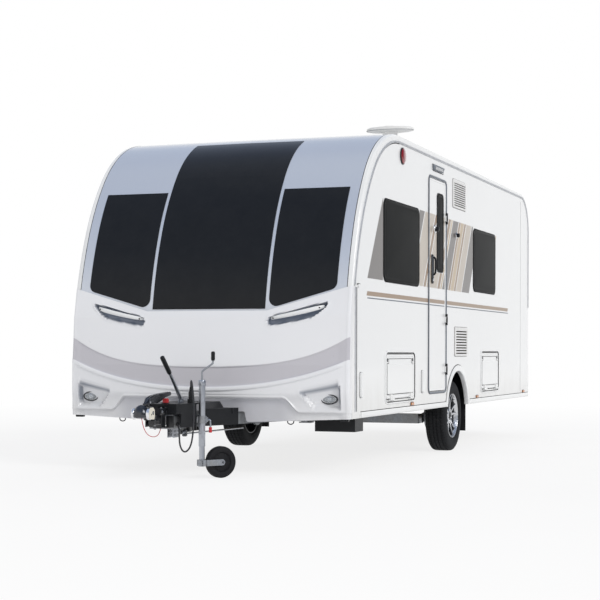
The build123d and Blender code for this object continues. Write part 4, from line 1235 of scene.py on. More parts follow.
def hatch_surround(form, rect, place):
    """The white frame round a hatch, and inside it a dark ring that is painted shadow in the gap."""
    around = (rect[0] - 2, rect[1] + 2, rect[2] - 15, rect[3] + 2)
    form.frame(grown(around, 19, OPENING_RADIUS), grown(around, 5, OPENING_RADIUS), place, -2, 8, 3.5, 0)
    # painted shadow: the dark ring stands for the shadow in the gap round the hatch
    form.frame(grown(around, 6, OPENING_RADIUS), grown(around, 0, OPENING_RADIUS), place, -2, 6.5, 1, 1)


def hatch_leaf(name, side, rect):
    """A hatch's edge, its dark line of painted shade round the raised middle, raised middle and lower rail,
    and the two locks.
    """
    place = side_plane(side)
    form = Form("white_plain", "seal", "black", "chrome")
    leaf = within(rect, LEAF_GAP)
    u0, u1, v0, v1 = leaf
    form.frame(grown(leaf, -1, LEAF_RADIUS), grown(leaf, -20, LEAF_RADIUS), place, SUNK, 3, 2, 0)
    # painted shade: the dark line stands for the shade of the groove round the raised middle
    line_along(form, notched(within(leaf, 36), 46), place, 1.2, 4.5, 1)
    form.prism(rounded(u0 + 40, u1 - 40, v0 + 40, v1 - 84, 8), place, SUNK, 3.5, 2, 0)
    form.prism(rounded(u0 + 14, u1 - 14, v0 + 6, v0 + 30, 9), place, SUNK, 7, 3, 0)
    for u in (u0 + 46, u1 - 46):
        lock = place(u, v1 - 46, 0)
        form.turned(lock, ALONG_X * side, [(14, -1), (14, 3), (12, 4.6), (5, 4.9)], 2, 28)
        form.turned(lock, ALONG_X * side, [(6, 3), (6, 5.6), (4, 5.9)], 3, 16)
    form.make(name + "_panel", body=name, slot="wall_white")


def hatches():
    """Every hatch and its surround."""
    surrounds = Form("white_plain", "seal")
    for name, side, rect in HATCHES:
        hatch_surround(surrounds, rect, side_plane(side))
        hatch_leaf(name, side, rect)
    surrounds.make("hatch_surrounds", slot="wall_white")


# ---- hinges -------------------------------------------------------------------------------------
def door_hinges(leaves):
    """The plates on the wall, and dark caps over the knuckles, of which the middle ones turn."""
    fixed, moving = Form("black"), Form("black")
    for z in DOOR_HINGES:
        axis = near_wall(HINGE_Y, z, HINGE_OUT)
        for low, high in ((25.3, 49.3), (-49.3, -25.3)):
            cap = [(9.4, low + 0.1), (10.3, low + 0.9), (10.3, high - 1), (9, high + 0.4)]
            fixed.turned(axis, UP, cap, 0, 24)
        moving.turned(axis, UP, [(9.4, -24.9), (10.3, -24), (10.3, 24), (9.4, 24.9)], 0, 24)
        leaves.prism(rounded(HINGE_Y, HINGE_Y + 38, z - 49, z + 49, 4), near_wall, SUNK, 4, 1.5)
        for dz in (-37, 37):
            leaves.turned(near_wall(HINGE_Y + 26, z + dz, 4), ALONG_X, [(5, -1), (5, 1), (3.5, 1.8)], 1, 16)
    fixed.make("door_hinge_caps", slot="hinge_white")
    moving.make("door_hinge_sleeves", body="door")


def hatch_hinges(leaves):
    """Two hinges under each hatch: outer knuckles on arms from the wall, and a bright pin."""
    for _, side, rect in HATCHES:
        foot = rect[2]
        for y in (rect[0] + 130, rect[1] - 130):
            axis = side_plane(side)(y, foot + 3, HINGE_OUT)
            for low, high in ((30.3, 50.3), (-50.3, -30.3)):
                knuckle = [(9, low + 0.1), (10, low + 1), (10, high - 1), (9, high)]
                leaves.turned(axis, ALONG_Y, knuckle, 0, 24)
                leaves.block((side * (HALF_WIDTH + SUNK), side * (HALF_WIDTH + 12)), (y + low, y + high),
                             (foot - 12, foot + 2), 2, 0)
            leaves.turned(axis, ALONG_Y, [(5, -50.8), (5, 50.8)], 1, 16)


def hinges():
    """All hinges; their plates make one piece."""
    leaves = Form("white_plain", "chrome")
    door_hinges(leaves)
    hatch_hinges(leaves)
    leaves.make("hinge_plates", slot="hinge_white", replaces=["hinge_leaves"])


# ---- fridge vents -------------------------------------------------------------------------------
VENTS = (((-207, 277, 2241, 2501), 11), ((-124, 346, 877, 1144), 9))    # extent and number of slats


def vent_grids():
    """Each vent's rim, a dark plate inside it that is painted shade for its depth, a dark ring of painted
    shadow round the rim's foot, and its slats.
    """
    form = Form("vent", "vent_shade")
    for rect, count in VENTS:
        hole = (rect[0] + 34, rect[1] - 20, rect[2] + 20, rect[3] - 20)
        form.frame(grown(rect, 0, 14), grown(hole, 0, 4), near_wall, SUNK, 9, 3, 0)
        # painted shade: the dark plate behind the slats
        form.prism(grown(hole, 2, 4), near_wall, SUNK, 0.8, 0.2, 1)
        # painted shadow: a dark ring round the foot of the rim
        form.frame(grown(rect, 4, 14), grown(rect, -1, 14), near_wall, SUNK, 1.2, 0.5, 1)
        pitch = (hole[3] - hole[2]) / count
        for i in range(count):
            low, high = hole[2] + (i + 0.44) * pitch, hole[2] + (i + 1) * pitch
            slat = [(low, 6), (low + 1, 7), (high - 1, 7), (high, 6), (high, 4.6), (low, 4.6)]
            form.loops([[near_wall(y, z, out) for z, out in slat] for y in (hole[0] - 3, hole[1] + 3)])
    form.make("vent_grids", slot="vent_white", replaces=["fridge_vents"])


# ---- lamps and trims on the sides ---------------------------------------------------------------
MARKERS = (-1547, 765, 2940)               # Y
MARKER_Z = 483
AWNING_OUTLINE = [(-895, 2503), (-605, 2503), (-575, 2522), (-543, 2552), (-912, 2552), (-905, 2522)]
SIDE_LAMP_Y, SIDE_LAMP_Z = -1850, 2510
PULLS = ((-2950, 574, 761), (-1235, 569, 757))         # Y and range of Z
SILLS = ((-2955, -437), (437, 3180))                   # ranges of Y
SILL_SECTION = ((1139, 465), (1143, 464.5), (1147.5, 460), (1150, 452), (1150.5, 441), (1148.5, 430),
                (1144, 423), (1138, 420.6), (1120, 420.6), (1120, 425), (1136, 427))
SILL_JOINT = ((1139, 470), (1141.4, 469.6), (1141.4, 464.4), (1139, 464))
ARCH_Z, ARCH_FOOT_Z, ARCH_STEPS = 345, 421, 72
ARCH_SECTION = ((446, 1139), (449, 1143), (447, 1148), (438, 1150.5), (410, 1151), (400, 1150), (394.5, 1146),
                (392, 1138), (392, 1112), (396, 1112), (396, 1139))      # radius, X
ARCH_JOINT = ((455, 1139.5), (455, 1141.5), (448, 1141.5), (448, 1139.5))


def marker_lamps():
    """Each lamp's dark seat, its lens and the two raised squares on that."""
    form = Form("amber", "black")
    for side in SIDES:
        place = side_plane(side)
        for y in MARKERS:
            form.prism(centred(y, MARKER_Z, 47, 15.5, 7), place, SUNK, 3, 1, 1)
            form.prism(centred(y, MARKER_Z, 42, 12, 6), place, 1, 10, 3)
            for k in (-20, 20):
                form.prism(centred(y + k, MARKER_Z, 14, 8, 3), place, 9, 11.4, 1.5)
    form.make("side_marker_lamps", slot="lamp_amber", replaces=["side_markers"])


def awning_lamp():
    """The lamp over the door, with its lens and dark joint."""
    form = Form("grey", "clear", "seal")
    around = (-916, -539, 2499, 2556)
    form.prism(AWNING_OUTLINE, near_wall, SUNK, 16, 5)
    form.prism(rounded(-880, -615, 2510, 2536, 8), near_wall, 14, 20, 2, 1)
    form.frame(grown(around, 2, 8), grown(around, -3, 8), near_wall, SUNK, 1, 0.4, 2)
    form.make("awning_lamp")


def round_lamp():
    """The round red lamp high on the near side."""
    form = Form("lamp_red", "black")
    centre = near_wall(SIDE_LAMP_Y, SIDE_LAMP_Z, 0)
    form.turned(centre, ALONG_X, [(69, -2), (69, 6), (66, 9), (62, 9.5)], 1, 48)
    form.turned(centre, ALONG_X, [(62, 6), (61, 12), (54, 18), (38, 21.5), (18, 22.8)], 0, 48)
    form.make("side_round_lamp", slot="lamp_red")


def side_pulls():
    """The two upright rounded trims low on the near side, each on a dark plate a little larger than it, which
    is painted shadow round its foot.
    """
    form = Form("white_plain", "seal")
    for y, z0, z1 in PULLS:
        form.prism(rounded(y - 26, y + 26, z0, z1, 16), near_wall, SUNK, 20, 8)
        # painted shadow: a dark plate a little larger than the trim, round its foot
        form.prism(rounded(y - 29, y + 28, z0 - 3, z1 + 3, 16), near_wall, SUNK, 1.5, 0.5, 1)
    form.make("side_pulls", slot="wall_white")


def sills():
    """The rounded rail under the walls, with its dark joint line."""
    form = Form("white_plain", "seal")
    for side in SIDES:
        for ends in SILLS:
            for kind, section in enumerate((SILL_SECTION, SILL_JOINT)):
                form.loops([[at(side * x, y, z) for x, z in section] for y in ends], kind)
    form.make("side_sills", slot="wall_white")


def wheel_arches():
    """The rolled lips round the wheels, with their dark joint lines."""
    form = Form("white_plain", "seal")
    for side in SIDES:
        for kind, section in enumerate((ARCH_SECTION, ARCH_JOINT)):
            rows = []
            for i in range(ARCH_STEPS + 1):
                row = []
                for radius, x in section:
                    first = asin((ARCH_FOOT_Z - ARCH_Z) / radius)
                    turn = first + (pi - 2 * first) * i / ARCH_STEPS
                    row.append(at(side * x, -radius * cos(turn), ARCH_Z + radius * sin(turn)))
                rows.append(row)
            form.loops(rows, kind)
    form.make("wheel_arch_lips", slot="moulding_white", replaces=["wheel_arch_trims"])


side_panes()
door_pane()
door_surround()
door_edging()
door_lock()
door_stay()
hatches()
hinges()
vent_grids()
marker_lamps()
awning_lamp()
round_lamp()
side_pulls()
sills()
wheel_arches()


# ---- road wheels --------------------------------------------------------------------------------
WHEEL_Z, HUB_X = 325, 1004.5
TYRE_STEPS = 288
# the tyre's section as (distance from its middle, radius)
TREAD = ((-97.5, 252), (-96.5, 285), (-92, 303), (-83, 316), (-72, 321.6), (-60, 323.6), (-58, 323.8),
         (-57, 317), (-49, 317), (-48, 324.4), (-22, 325), (-21, 317.5), (-12, 317.5), (-11, 325), (11, 325),
         (12, 317.5), (21, 317.5), (22, 325), (48, 324.4), (49, 317), (57, 317), (58, 323.8), (60, 323.6),
         (72, 321.6), (83, 316), (92, 303), (96.5, 285), (97.5, 252))
SIDEWALL = ((97, 244), (96.2, 243), (96.2, 238), (97, 237), (95, 226), (92.5, 218), (88, 212), (84, 205))
TYRE_INSIDE = ((84, 205), (80, 203.4), (-80, 203.4), (-84, 205))
RIB_RADIUS = 318.5         # what stands further out than this is a rib of the tread
SPOKES = 5
SPOKE_FOOT, SPOKE_TIP = 52, 190
SPOKE_SECTION = ((0, -26), (0, -5), (2.2, -1.2), (3.4, 0))               # inset, depth
BARREL = [(203, -86), (196, -86), (194, -60), (186, -40), (184, 20), (188, 52), (196, 62)]
RIM_LIP = [(203, 86), (202, 87.5), (197.5, 87.5), (195.5, 85), (194, 76), (191, 70), (187, 62), (186, 40)]
BOLT_CIRCLE, BOLT_OUT = 56, 55             # radius, distance out from the wheel's middle
VALVE_RADIUS, VALVE_OUT, VALVE_TURN = 178, 50, 0.63


def sipe_depth(w, radius, i):
    """How deep the tyre is cut at one of its steps round: every fourth, over ribs and shoulders."""
    if i % 4 != 3:
        return 0.0
    if radius > RIB_RADIUS:
        return 5.5 if abs(w) > 57 else 3.2 if abs(w) > 30 else 2.2
    return 3.0 if 300 < radius < RIB_RADIUS and abs(w) > 80 else 0.0


def tyre(side, name):
    """A tyre with grooves round it and sipes cut across its ribs and shoulders."""
    form = Form("tyre")
    outside = [(-w, radius) for w, radius in SIDEWALL[::-1]] + list(TREAD) + list(SIDEWALL)
    for profile in (outside, TYRE_INSIDE):
        rows = []
        for w, radius in profile:
            row = []
            for i, turn in enumerate(turns(TYRE_STEPS)):
                r = radius - sipe_depth(w, radius, i)
                row.append(at(side * (HUB_X + w), r * sin(turn), WHEEL_Z + r * cos(turn)))
            rows.append(row)
        form.loops(rows, caps=(False, False))
    form.make(f"tyre_tread_{name}", body=f"wheel_{name}", slot="tyre", replaces=[f"tyre_{name}"], sharp=32)


def spoke_outline(root_wide, tip_wide, lean):
    """One blade of a twin spoke as (across, out) points, bowed a little."""
    left, right = [], []
    for i in range(9):
        t = i / 8
        middle = lean[0] + (lean[1] - lean[0]) * t ** 1.2
        wide = root_wide + (tip_wide - root_wide) * t
        out = SPOKE_FOOT + (SPOKE_TIP - SPOKE_FOOT) * t
        left.append((middle - wide, out))
        right.append((middle + wide, out))
    return right + left[::-1]


def spoke(form, side, turn, outline):
    """A dark blade with a machined face, turned about the hub."""
    rows = []
    for edge, deep in SPOKE_SECTION:
        row = []
        for u, v in inset(outline, edge):
            share = (v - SPOKE_FOOT) / (SPOKE_TIP - SPOKE_FOOT)
            w = 62 + 14 * share ** 2 - 4 * sin(pi * share) + deep
            y, z = u * cos(turn) + v * sin(turn), v * cos(turn) - u * sin(turn)
            row.append(at(side * (HUB_X + w), y, WHEEL_Z + z))
        rows.append(row)
    form.loops(rows[:3], 0, caps=(True, False))
    count = len(outline)
    face = [(i, i + 1, count - 2 - i, count - 1 - i) for i in range(count // 2 - 1)]
    form.add(rows[3], face, 1)
    form.loops(rows[2:], 1, caps=(False, False))


def rim(side, name):
    """A cast rim: dark barrel, machined lip and twin spokes, bolts and a plain cap."""
    form = Form("rim_dark", "alloy", "dark_steel", "black")
    centre = at(side * HUB_X, 0, WHEEL_Z)
    axis = ALONG_X * side
    form.turned(centre, axis, BARREL, 0, 96, (False, False))
    form.turned(centre, axis, [(203, -86), (203, 86)], 0, 96, (False, False))
    form.turned(centre, axis, RIM_LIP, 1, 96, (False, False))
    form.turned(centre, axis, [(184, -4), (60, -8), (40, -8)], 0, 96, (False, False))
    for turn in turns(SPOKES):
        for way in (-1, 1):
            spoke(form, side, turn, spoke_outline(13, 8.5, (way * 12, way * 44)))
    hub = [(72, -20), (72, 48), (69, 58), (62, 63), (44, 64), (41, 60)]
    form.turned(centre, axis, hub, 1, 64, (False, False))
    cap = [(42, 58), (41, 52), (36, 51), (35, 62), (30, 66.5), (8, 67.5)]
    form.turned(centre, axis, cap, 3, 48, (False, True))
    for k in range(SPOKES):
        turn = 2 * pi * (k + 0.5) / SPOKES
        spot = centre + (Vector((0, sin(turn), cos(turn))) * BOLT_CIRCLE + axis * BOLT_OUT) / 1000
        form.turned(spot, axis, [(10, 0), (10, 5), (8, 8.6)], 2, 6)
    form.turned(centre, axis, [(42, -20), (22.4, -20), (22.4, 40)], 0, 40, (False, False))
    out = Vector((0, sin(VALVE_TURN), cos(VALVE_TURN)))
    valve = centre + (out * VALVE_RADIUS + axis * VALVE_OUT) / 1000
    form.turned(valve, axis, [(3.4, 0), (3.4, 20), (2.4, 24), (2.4, 30)], 3, 12)
    form.make(f"rim_spoked_{name}", body=f"wheel_{name}", slot="alloy_rim", replaces=[f"rim_{name}"],
              sharp=30, closed=False)


for side, name in ((1, "near"), (-1, "off")):
    tyre(side, name)
    rim(side, name)


# ---- front lamps, grab handles and small front parts --------------------------------------------
FOG_LAMP = (980, 565)      # X, Z
GRAB_PATH = ((520, 1163), (545, 1166), (600, 1176), (690, 1193), (780, 1212), (860, 1231), (905, 1243),
             (930, 1252))  # X, Z
GRAB_OUT = (-34, -12, 4, 9, 10, 8, -6, -30)            # how far ahead of the moulding's plain form
GRAB_TALL = (9, 13, 15, 16, 17, 17, 15, 10)            # half its height
HOOK_X, HOOK_Y = 690, -3240
HOOK_PATH = ((-26, 408), (-20, 386), (0, 378), (20, 386), (26, 408))


def oval(form, centre, profile, kind, caps=(True, True)):
    """Ovals facing the front: (half width, half height, how far ahead)."""
    x, y, z = centre
    rows = [[at(x + rx * cos(turn), y - out, z + rz * sin(turn)) for turn in turns(40)]
            for rx, rz, out in profile]
    form.loops(rows, kind, caps=caps)


def front_lamps():
    """Each lamp's dark bezel, bright reflector, clear lens and bulb shade."""
    form = Form("clear", "chrome", "dark_steel")
    x, z = FOG_LAMP
    for s in SIDES:
        centre = (s * x, moulding_y(x, z) + LAMP_RECESS[1], z)
        bezel = [(66, 38, -12), (66, 38, 4), (63, 35, 7), (59, 31, 7), (57, 29, 3)]
        oval(form, centre, bezel, 2, (True, False))
        oval(form, centre, [(57, 29, -2), (54, 27, 2), (50, 24, 2.4)], 1, (True, False))
        oval(form, centre, [(52, 26, 1), (50, 24, 6), (38, 18, 9), (16, 8, 10.5)], 0)
        oval(form, centre, [(22, 16, -4), (20, 14, 8.5), (12, 9, 10.2)], 1)
    form.make("front_fog_lamps", slot="lamp_clear", replaces=["front_lamps"])


def grab_handles():
    """A white bar across each recess, thicker in the middle."""
    form = Form("white_plain", "black")
    for s in SIDES:
        rows = []
        for (x, z), out, tall in zip(GRAB_PATH, GRAB_OUT, GRAB_TALL):
            y = moulding_y(x, z) - out
            rows.append([at(s * x, y + 9 * cos(turn), z + tall * sin(turn)) for turn in turns(16)])
        form.loops(rows, 0)
        for x, z in ((548, 1165), (902, 1242)):
            form.turned(at(s * x, moulding_y(x, z) - 1, z - 1), -ALONG_Y, [(5, -3), (5, 6), (4, 7)], 1, 16)
    form.make("front_grab_handles", slot="handle_white", replaces=["grab_handles"])


def corner_clips():
    """Where the side trim meets the moulding, the dark feet under its corners and the hooks beneath."""
    form = Form("white_plain", "seal", "black")
    for s in SIDES:
        form.prism(rounded(-3040, -2996, 1398, 1420, 6), side_plane(s), SUNK, 13, 3, 0)
        form.prism(rounded(-3046, -2990, 1416, 1424, 2), side_plane(s), SUNK, 9, 1, 1)
        form.block((s * 1060, s * 1122), (-3196, -3150), (402, 424), 4, 2)
        form.tube(curved([at(s * HOOK_X + dx, HOOK_Y, z) for dx, z in HOOK_PATH], 5), 4, 2, 10)
    form.make("front_corner_parts")


# ---- roof ---------------------------------------------------------------------------------------
AERIAL = (930, -1500)      # X, Y
WING = (205, 100, 138)     # half width, half length, height over the roof
WING_ROWS = ((0.86, 0), (0.965, 4), (1.0, 14), (0.985, 26), (0.90, 36), (0.60, 41), (0.30, 42))
WING_JOINT = ((0.992, 8.5), (1.004, 9), (1.004, 11), (0.992, 11.5))      # share of its size, height
ROOFLIGHTS = ((-1350, 620), (450, 480), (2250, 400))   # Y, width
DOME_TOP = 88              # over the roof
# (how far in from the rim, share of the dome's height)
DOME_ROWS = ((0, 0), (0, 0.30), (3, 0.46), (10, 0.62), (24, 0.80), (46, 0.92), (76, 0.98), (100, 1))
SEAM_X = 700


def roof_height(y, x=0):
    """The height of the roof's skin."""
    line = crown_line(crown_share(x))
    for a, b in zip(line, line[1:]):
        if a[0] <= y <= b[0] and b[0] > a[0]:
            return a[1] + (b[1] - a[1]) * (y - a[0]) / (b[0] - a[0])
    return ROOF_Z


def wing_rows(sizes):
    """Ovals round the aerial's mast: (share of the wing's size, height)."""
    x, y = AERIAL
    wide, long, low = WING
    return [[at(x + wide * share * cos(turn), y + long * share * sin(turn), ROOF_Z + low + rise)
             for turn in turns(64)] for share, rise in sizes]


def roof_aerial():
    """A mast, the wing on it with a dark joint round its rim, and a cap."""
    form = Form("vent", "grey")
    base = at(*AERIAL, ROOF_Z)
    form.turned(base, UP, [(60, 8), (61, 60), (58, 100), (66, 132), (66, 139)], 0, 48)
    form.loops(wing_rows(WING_ROWS), 0)
    form.loops(wing_rows(WING_JOINT), 1, caps=(False, False))
    form.turned(base, UP, [(60, 176), (60, 182.4), (50, 183)], 0, 48)
    form.make("roof_aerial_dish", slot="vent_white", replaces=["roof_aerial"])


def rooflights():
    """Each rooflight's frame, its dome and the dark joint between them."""
    form = Form("dome", "vent", "seal")
    for y, size in ROOFLIGHTS:
        half, deep = size / 2, size * 0.4
        low = roof_height(y) - 6
        rise = ROOF_Z + DOME_TOP - low - 22

        def outline(margin, radius):
            return centred(0, y, half + margin, deep + margin, radius)

        form.stack([(outline(24, 60), low), (outline(24, 60), low + 16), (outline(18, 56), low + 22),
                    (outline(4, 50), low + 24)], at, 1)
        form.stack([(outline(-inwards, 50), low + 22 + rise * share) for inwards, share in DOME_ROWS], at, 0)
        form.stack([(outline(3, 50), low + 25), (outline(0, 50), low + 28)], at, 2)
    form.make("rooflight_domes", slot="rooflight_acrylic", replaces=["rooflights"])


def roof_seams():
    """Two joint strips along the roof."""
    form = Form("trim")
    for x in (-SEAM_X, SEAM_X):
        form.tube([at(x, y, roof_height(y, x) + 0.6) for y in range(-1900, 2750, 150)], 2.2, 0, 8)
    form.make("roof_seams")


front_lamps()
grab_handles()
corner_clips()
roof_aerial()
rooflights()
roof_seams()


# ---- coupling -----------------------------------------------------------------------------------
BALL_Y, BALL_Z, BALL_RADIUS = -4332, 478, 25.3
HEAD_RADIUS = 58
LEVER_TOP = ((-4290, 551), (-4282, 562), (-4235, 596), (-4163, 611), (-4060, 620), (-3882, 628))      # Y, Z
LEVER_FOOT = ((-4290, 551), (-4200, 551), (-4120, 551), (-4045, 568), (-3985, 592), (-3877, 606))
LEVER_STATIONS = (-4290, -4286, -4278, -4262, -4240, -4210, -4170, -4120, -4060, -4000, -3950, -3910, -3890,
                  -3880)
HOUSING_X, HOUSING_TOP = 52, 516
PLATE_TOP = 468
PAD_OUT = ((-ALONG_X, 60), (ALONG_X, 70))              # which way, and how far the friction pad reaches
WEAR_PLATE = ((-34, 452), (26, 446), (38, 470), (34, 512), (12, 530), (-18, 528), (-36, 500))   # Y, Z
NECK = ((-32, 468), (32, 468), (34, 474), (34, 520), (26, 533), (-26, 533), (-34, 520), (-34, 474))   # X, Z
NECK_END = -4206


def height_along(line, y):
    """The height of a line of (Y, Z) points at a place along it."""
    for (y0, z0), (y1, z1) in zip(line, line[1:]):
        if y <= y1:
            return z0 + (z1 - z0) * max(0.0, (y - y0) / (y1 - y0))
    return line[-1][1]


def coupling_cup(form):
    """The cup over the ball, with the plated socket inside it."""
    ball = at(0, BALL_Y, BALL_Z)
    outer = ((3, -19), (0, -12), (0, 8), (2, 20), (9, 38), (22, 56), (36, 65))
    cup = [(BALL_RADIUS, -21.5), (BALL_RADIUS + 14, -22)] + [(HEAD_RADIUS - less, z) for less, z in outer]
    form.turned(ball, UP, cup + [(4, 69)], 0, 56, (False, True))
    bowl = [(BALL_RADIUS * cos(radians(a)), BALL_RADIUS * sin(radians(a))) for a in range(0, 90, 15)]
    form.turned(ball, UP, [(BALL_RADIUS, -21.5)] + bowl + [(0.5, BALL_RADIUS)], 4, 48, (False, True))


def friction_pads(form):
    """A bright cap each side, and a cream wear plate with its screws on the near one."""
    for way, far in PAD_OUT:
        cap = [(30, 40), (38, 48), (40, 52), (40, far), (37, far + 4), (12, far + 5)]
        form.turned(at(0, BALL_Y, BALL_Z + 6), way, cap, 1, 40)
    form.prism([(BALL_Y + dy, z) for dy, z in WEAR_PLATE], upright_plane(0), 72, 84, 3, 2)
    screw = at(83, BALL_Y + 8, BALL_Z + 14)
    form.turned(screw, ALONG_X, [(13, -1), (13, 1.6), (8, 1.8)], 3, 24)
    form.turned(screw, ALONG_X, [(7, 1), (7, 2.6)], 1, 6)
    form.turned(at(83, BALL_Y - 20, BALL_Z + 4), ALONG_X, [(6, -1), (6, 1.6)], 3, 16)


def coupling_body(form):
    """Neck, bellows and the black housing behind, bolted to the drawbar."""
    form.stack([(NECK, BALL_Y + 10), (NECK, NECK_END)], cross_plane, 3)
    folds = []
    for i in range(8):
        folds += [(38, i * 9.6), (46, i * 9.6 + 4.8)]
    form.turned(at(0, NECK_END, 491), ALONG_Y, folds + [(38, 76)], 5, 36)
    body = rounded(-HOUSING_X, HOUSING_X, PLATE_TOP, HOUSING_TOP, 12)
    front = inset(body, 4)
    form.stack([(front, -4130), (body, -4125), (body, -3998), (front, -3996)], cross_plane, 3)
    form.block((-34, 34), (-4085, -4014), (375, 470), 3, 3)
    for x in (-40, 40):
        for y in (-4108, -4020):
            form.bolt(at(x, y, HOUSING_TOP), UP, 7, 7, 4)
    for y in (-4112, -4030):
        for side in (1, -1):
            form.bolt(at(side * HOUSING_X, y, 492), ALONG_X * side, 7, 7, 4)


def coupling_head():
    """The coupling as one piece."""
    form = Form("dark_steel", "chrome", "cream", "black_steel", "zinc", "rubber")
    coupling_cup(form)
    friction_pads(form)
    coupling_body(form)
    form.make("coupling_head", slot="cast_silver", replaces=["coupling"], sharp=40)


def coupling_bracket():
    """The dark bracket under the coupling, with its bolt."""
    form = Form("black_steel", "zinc")
    form.block((18, 62), (-4262, -4150), (404, 438), 3, 0)
    form.block((-30, 48), (-4240, -4172), (436, 470), 3, 0)
    form.bolt(at(40, -4206, 404), -UP, 8, 9, 1)
    form.make("coupling_bracket")


def lever_section(y):
    """The lever's section at a place along it, as points (X, Z)."""
    top, foot = height_along(LEVER_TOP, y), height_along(LEVER_FOOT, y)
    top = max(top, foot + 3)
    wide = 22.5 * (0.55 + 0.45 * smooth(-4292, -4240, y)) * (1 - 0.16 * smooth(-4170, -4050, y))
    if y > -3885:
        top, foot, wide = top - 4, foot + 4, wide - 4
    mid = (top + foot) / 2
    near = [(wide, foot + 1), (wide, mid), (wide * 0.86, top - 4), (wide * 0.5, top), (wide * 0.3, top - 1.6)]
    off = [(-x, z) for x, z in reversed(near)]
    return off[-1:] + near + off[:-1]


def coupling_lever():
    """The lever with its pivot, and the ribbed grip under its rear end."""
    form = Form("dark_steel", "black", "chrome")
    form.stack([(lever_section(y), y) for y in LEVER_STATIONS], cross_plane, 0)
    form.block((-19, 19), (-4266, -4218), (532, 556), 3, 0)
    pivot = [(9, 0), (9, 2), (6, 2.4), (6, 45.6), (9, 46), (9, 48)]
    form.turned(at(-24, -4242, 560), ALONG_X, pivot, 2, 20)
    for i in range(7):
        y = -3900 - i * 15
        foot = height_along(LEVER_FOOT, y)
        form.block((-17, 17), (y - 4, y + 4), (foot - 3, foot + 4), 1.5, 1)
    form.make("coupling_lever", slot="black_steel", replaces=["coupling_handle"], sharp=38)


def dock_button():
    """The red button in its black seat, under the lever."""
    form = Form("red", "black")
    form.block((-19, 19), (-3962, -3920), (541, 581), 6, 0)
    form.block((-24, 24), (-3972, -3910), (540, 551), 4, 1)
    form.make("soft_dock_button")


# ---- what hangs under the nose ------------------------------------------------------------------
ROD = (50, -3712, 319)     # front end of the brake rod
SPRING = (50, -3790, 334)  # front end of the spring
BRACKET = (-3958, -3834, 302, 368)         # ranges of Y and Z


def slotted_bracket(form):
    """A pressed bracket: two cheeks with two rows of slots, and the web between them."""
    for x in (20, 62):
        form.prism(rounded(*BRACKET, 6), upright_plane(x), 0, 3, 0.6, 0)
        for y in range(-3944, -3824, 24):
            for z in (312, 340):
                form.prism(rounded(y, y + 12, z, z + 18, 4), upright_plane(x), -0.4, 3.4, 0.2, 2)
    form.block((20, 65), BRACKET[:2], (BRACKET[3] - 4, BRACKET[3]), 1, 0)


def brake_gear():
    """Relay lever, clevis, spring and rod of the brake."""
    form = Form("steel", "black_steel", "dark_steel")
    slotted_bracket(form)
    form.block((30, 56), (-3812, -3742), (318, 372), 4, 1)
    form.block((34, 66), (-3740, -3706), (300, 352), 5, 2)
    form.block((26, 74), (-3690, -3640), (330, 376), 5, 1)
    form.turned(at(*ROD), -ALONG_Y, [(9, 0), (9, 30), (6, 34)], 2, 20)
    x, y, z = SPRING
    coil = []
    for i in range(97):
        turn = 2 * pi * i / 12
        coil.append(at(x + 13 * cos(turn), y + i * 0.86, z + 13 * sin(turn)))
    form.tube(coil, 2.2, 0, 8)
    form.turned(at(50, -3720, 319), (0, 1, -0.0063), [(6, 0), (6, 1120)], 0, 16)
    form.turned(at(*ROD), ALONG_Y, [(11, 0), (11, 14)], 0, 6)
    for y in (-3560, -3520):
        form.block((30, 70), (y, y + 14), (334, 376), 3, 1)
    form.make("brake_gear_front")


def drawbar_caps():
    """The caps of the drawbar's front ends, and the bolts through its plate."""
    form = Form("black_steel", "zinc")
    for s in SIDES:
        form.block((s * 38, s * 96), (-4018, -4008), (377, 459), 2, 0)
    for x in (-66, 66):
        for y in (-3980, -3840):
            form.bolt(at(x, y, PLATE_TOP), UP, 9, 8, 1)
            form.bolt(at(x, y, 367), -UP, 9, 8, 1)
    form.make("drawbar_end_caps")


# ---- hand brake ---------------------------------------------------------------------------------
BRAKE = ((-3679, 566), (-3887, 768), (-4006, 876))     # Y, Z of its pivot, of the grip's foot and end


def hand_brake():
    """The lever and its grip, the ratchet quadrant's two plates, their base and the pivot."""
    form = Form("steel", "black", "zinc")
    (y0, z0), (y1, z1), (y2, z2) = BRAKE
    path = ((y0, z0 - 12), (y0 - 10, z0 + 6), ((y0 + y1) / 2, (z0 + z1) / 2 + 2), (y1, z1))
    form.tube(curved([at(0, y, z) for y, z in path], 6), 12.5, 0, 18)
    ahead = at(0, y2, z2) - at(0, y1, z1)
    length = ahead.length * 1000
    grip = [(11, -14), (15, -12), (16.6, -6)]
    for i in range(9):
        low = 2 + (length - 22) * i / 9
        grip += [(16.6, low), (17, low + 2), (17, low + 9), (16.2, low + 11)]
    grip += [(16.8, length - 14), (16.4, length - 5), (12, length - 0.6)]
    form.turned(at(0, y1, z1), ahead, grip, 1, 28)
    sector = [(y0 - 36, 461), (y0 + 36, 461), (y0 + 36, 520), (y0 + 24, z0 + 4), (y0 - 14, z0 + 8),
              (y0 - 36, 530)]
    for x in (-10, 5):
        form.prism(sector, upright_plane(x), 0, 5, 1, 2)
    form.block((-10, 10), (y0 - 36, y0 + 36), (460, 466), 2, 2)
    pivot = [(10, 0), (10, 3), (7, 3.4), (7, 22.6), (10, 23), (10, 26)]
    form.turned(at(-13, y0, z0 - 12), ALONG_X, pivot, 0, 20)
    form.make("hand_brake", slot="black_steel", replaces=["brake_lever"], sharp=40)


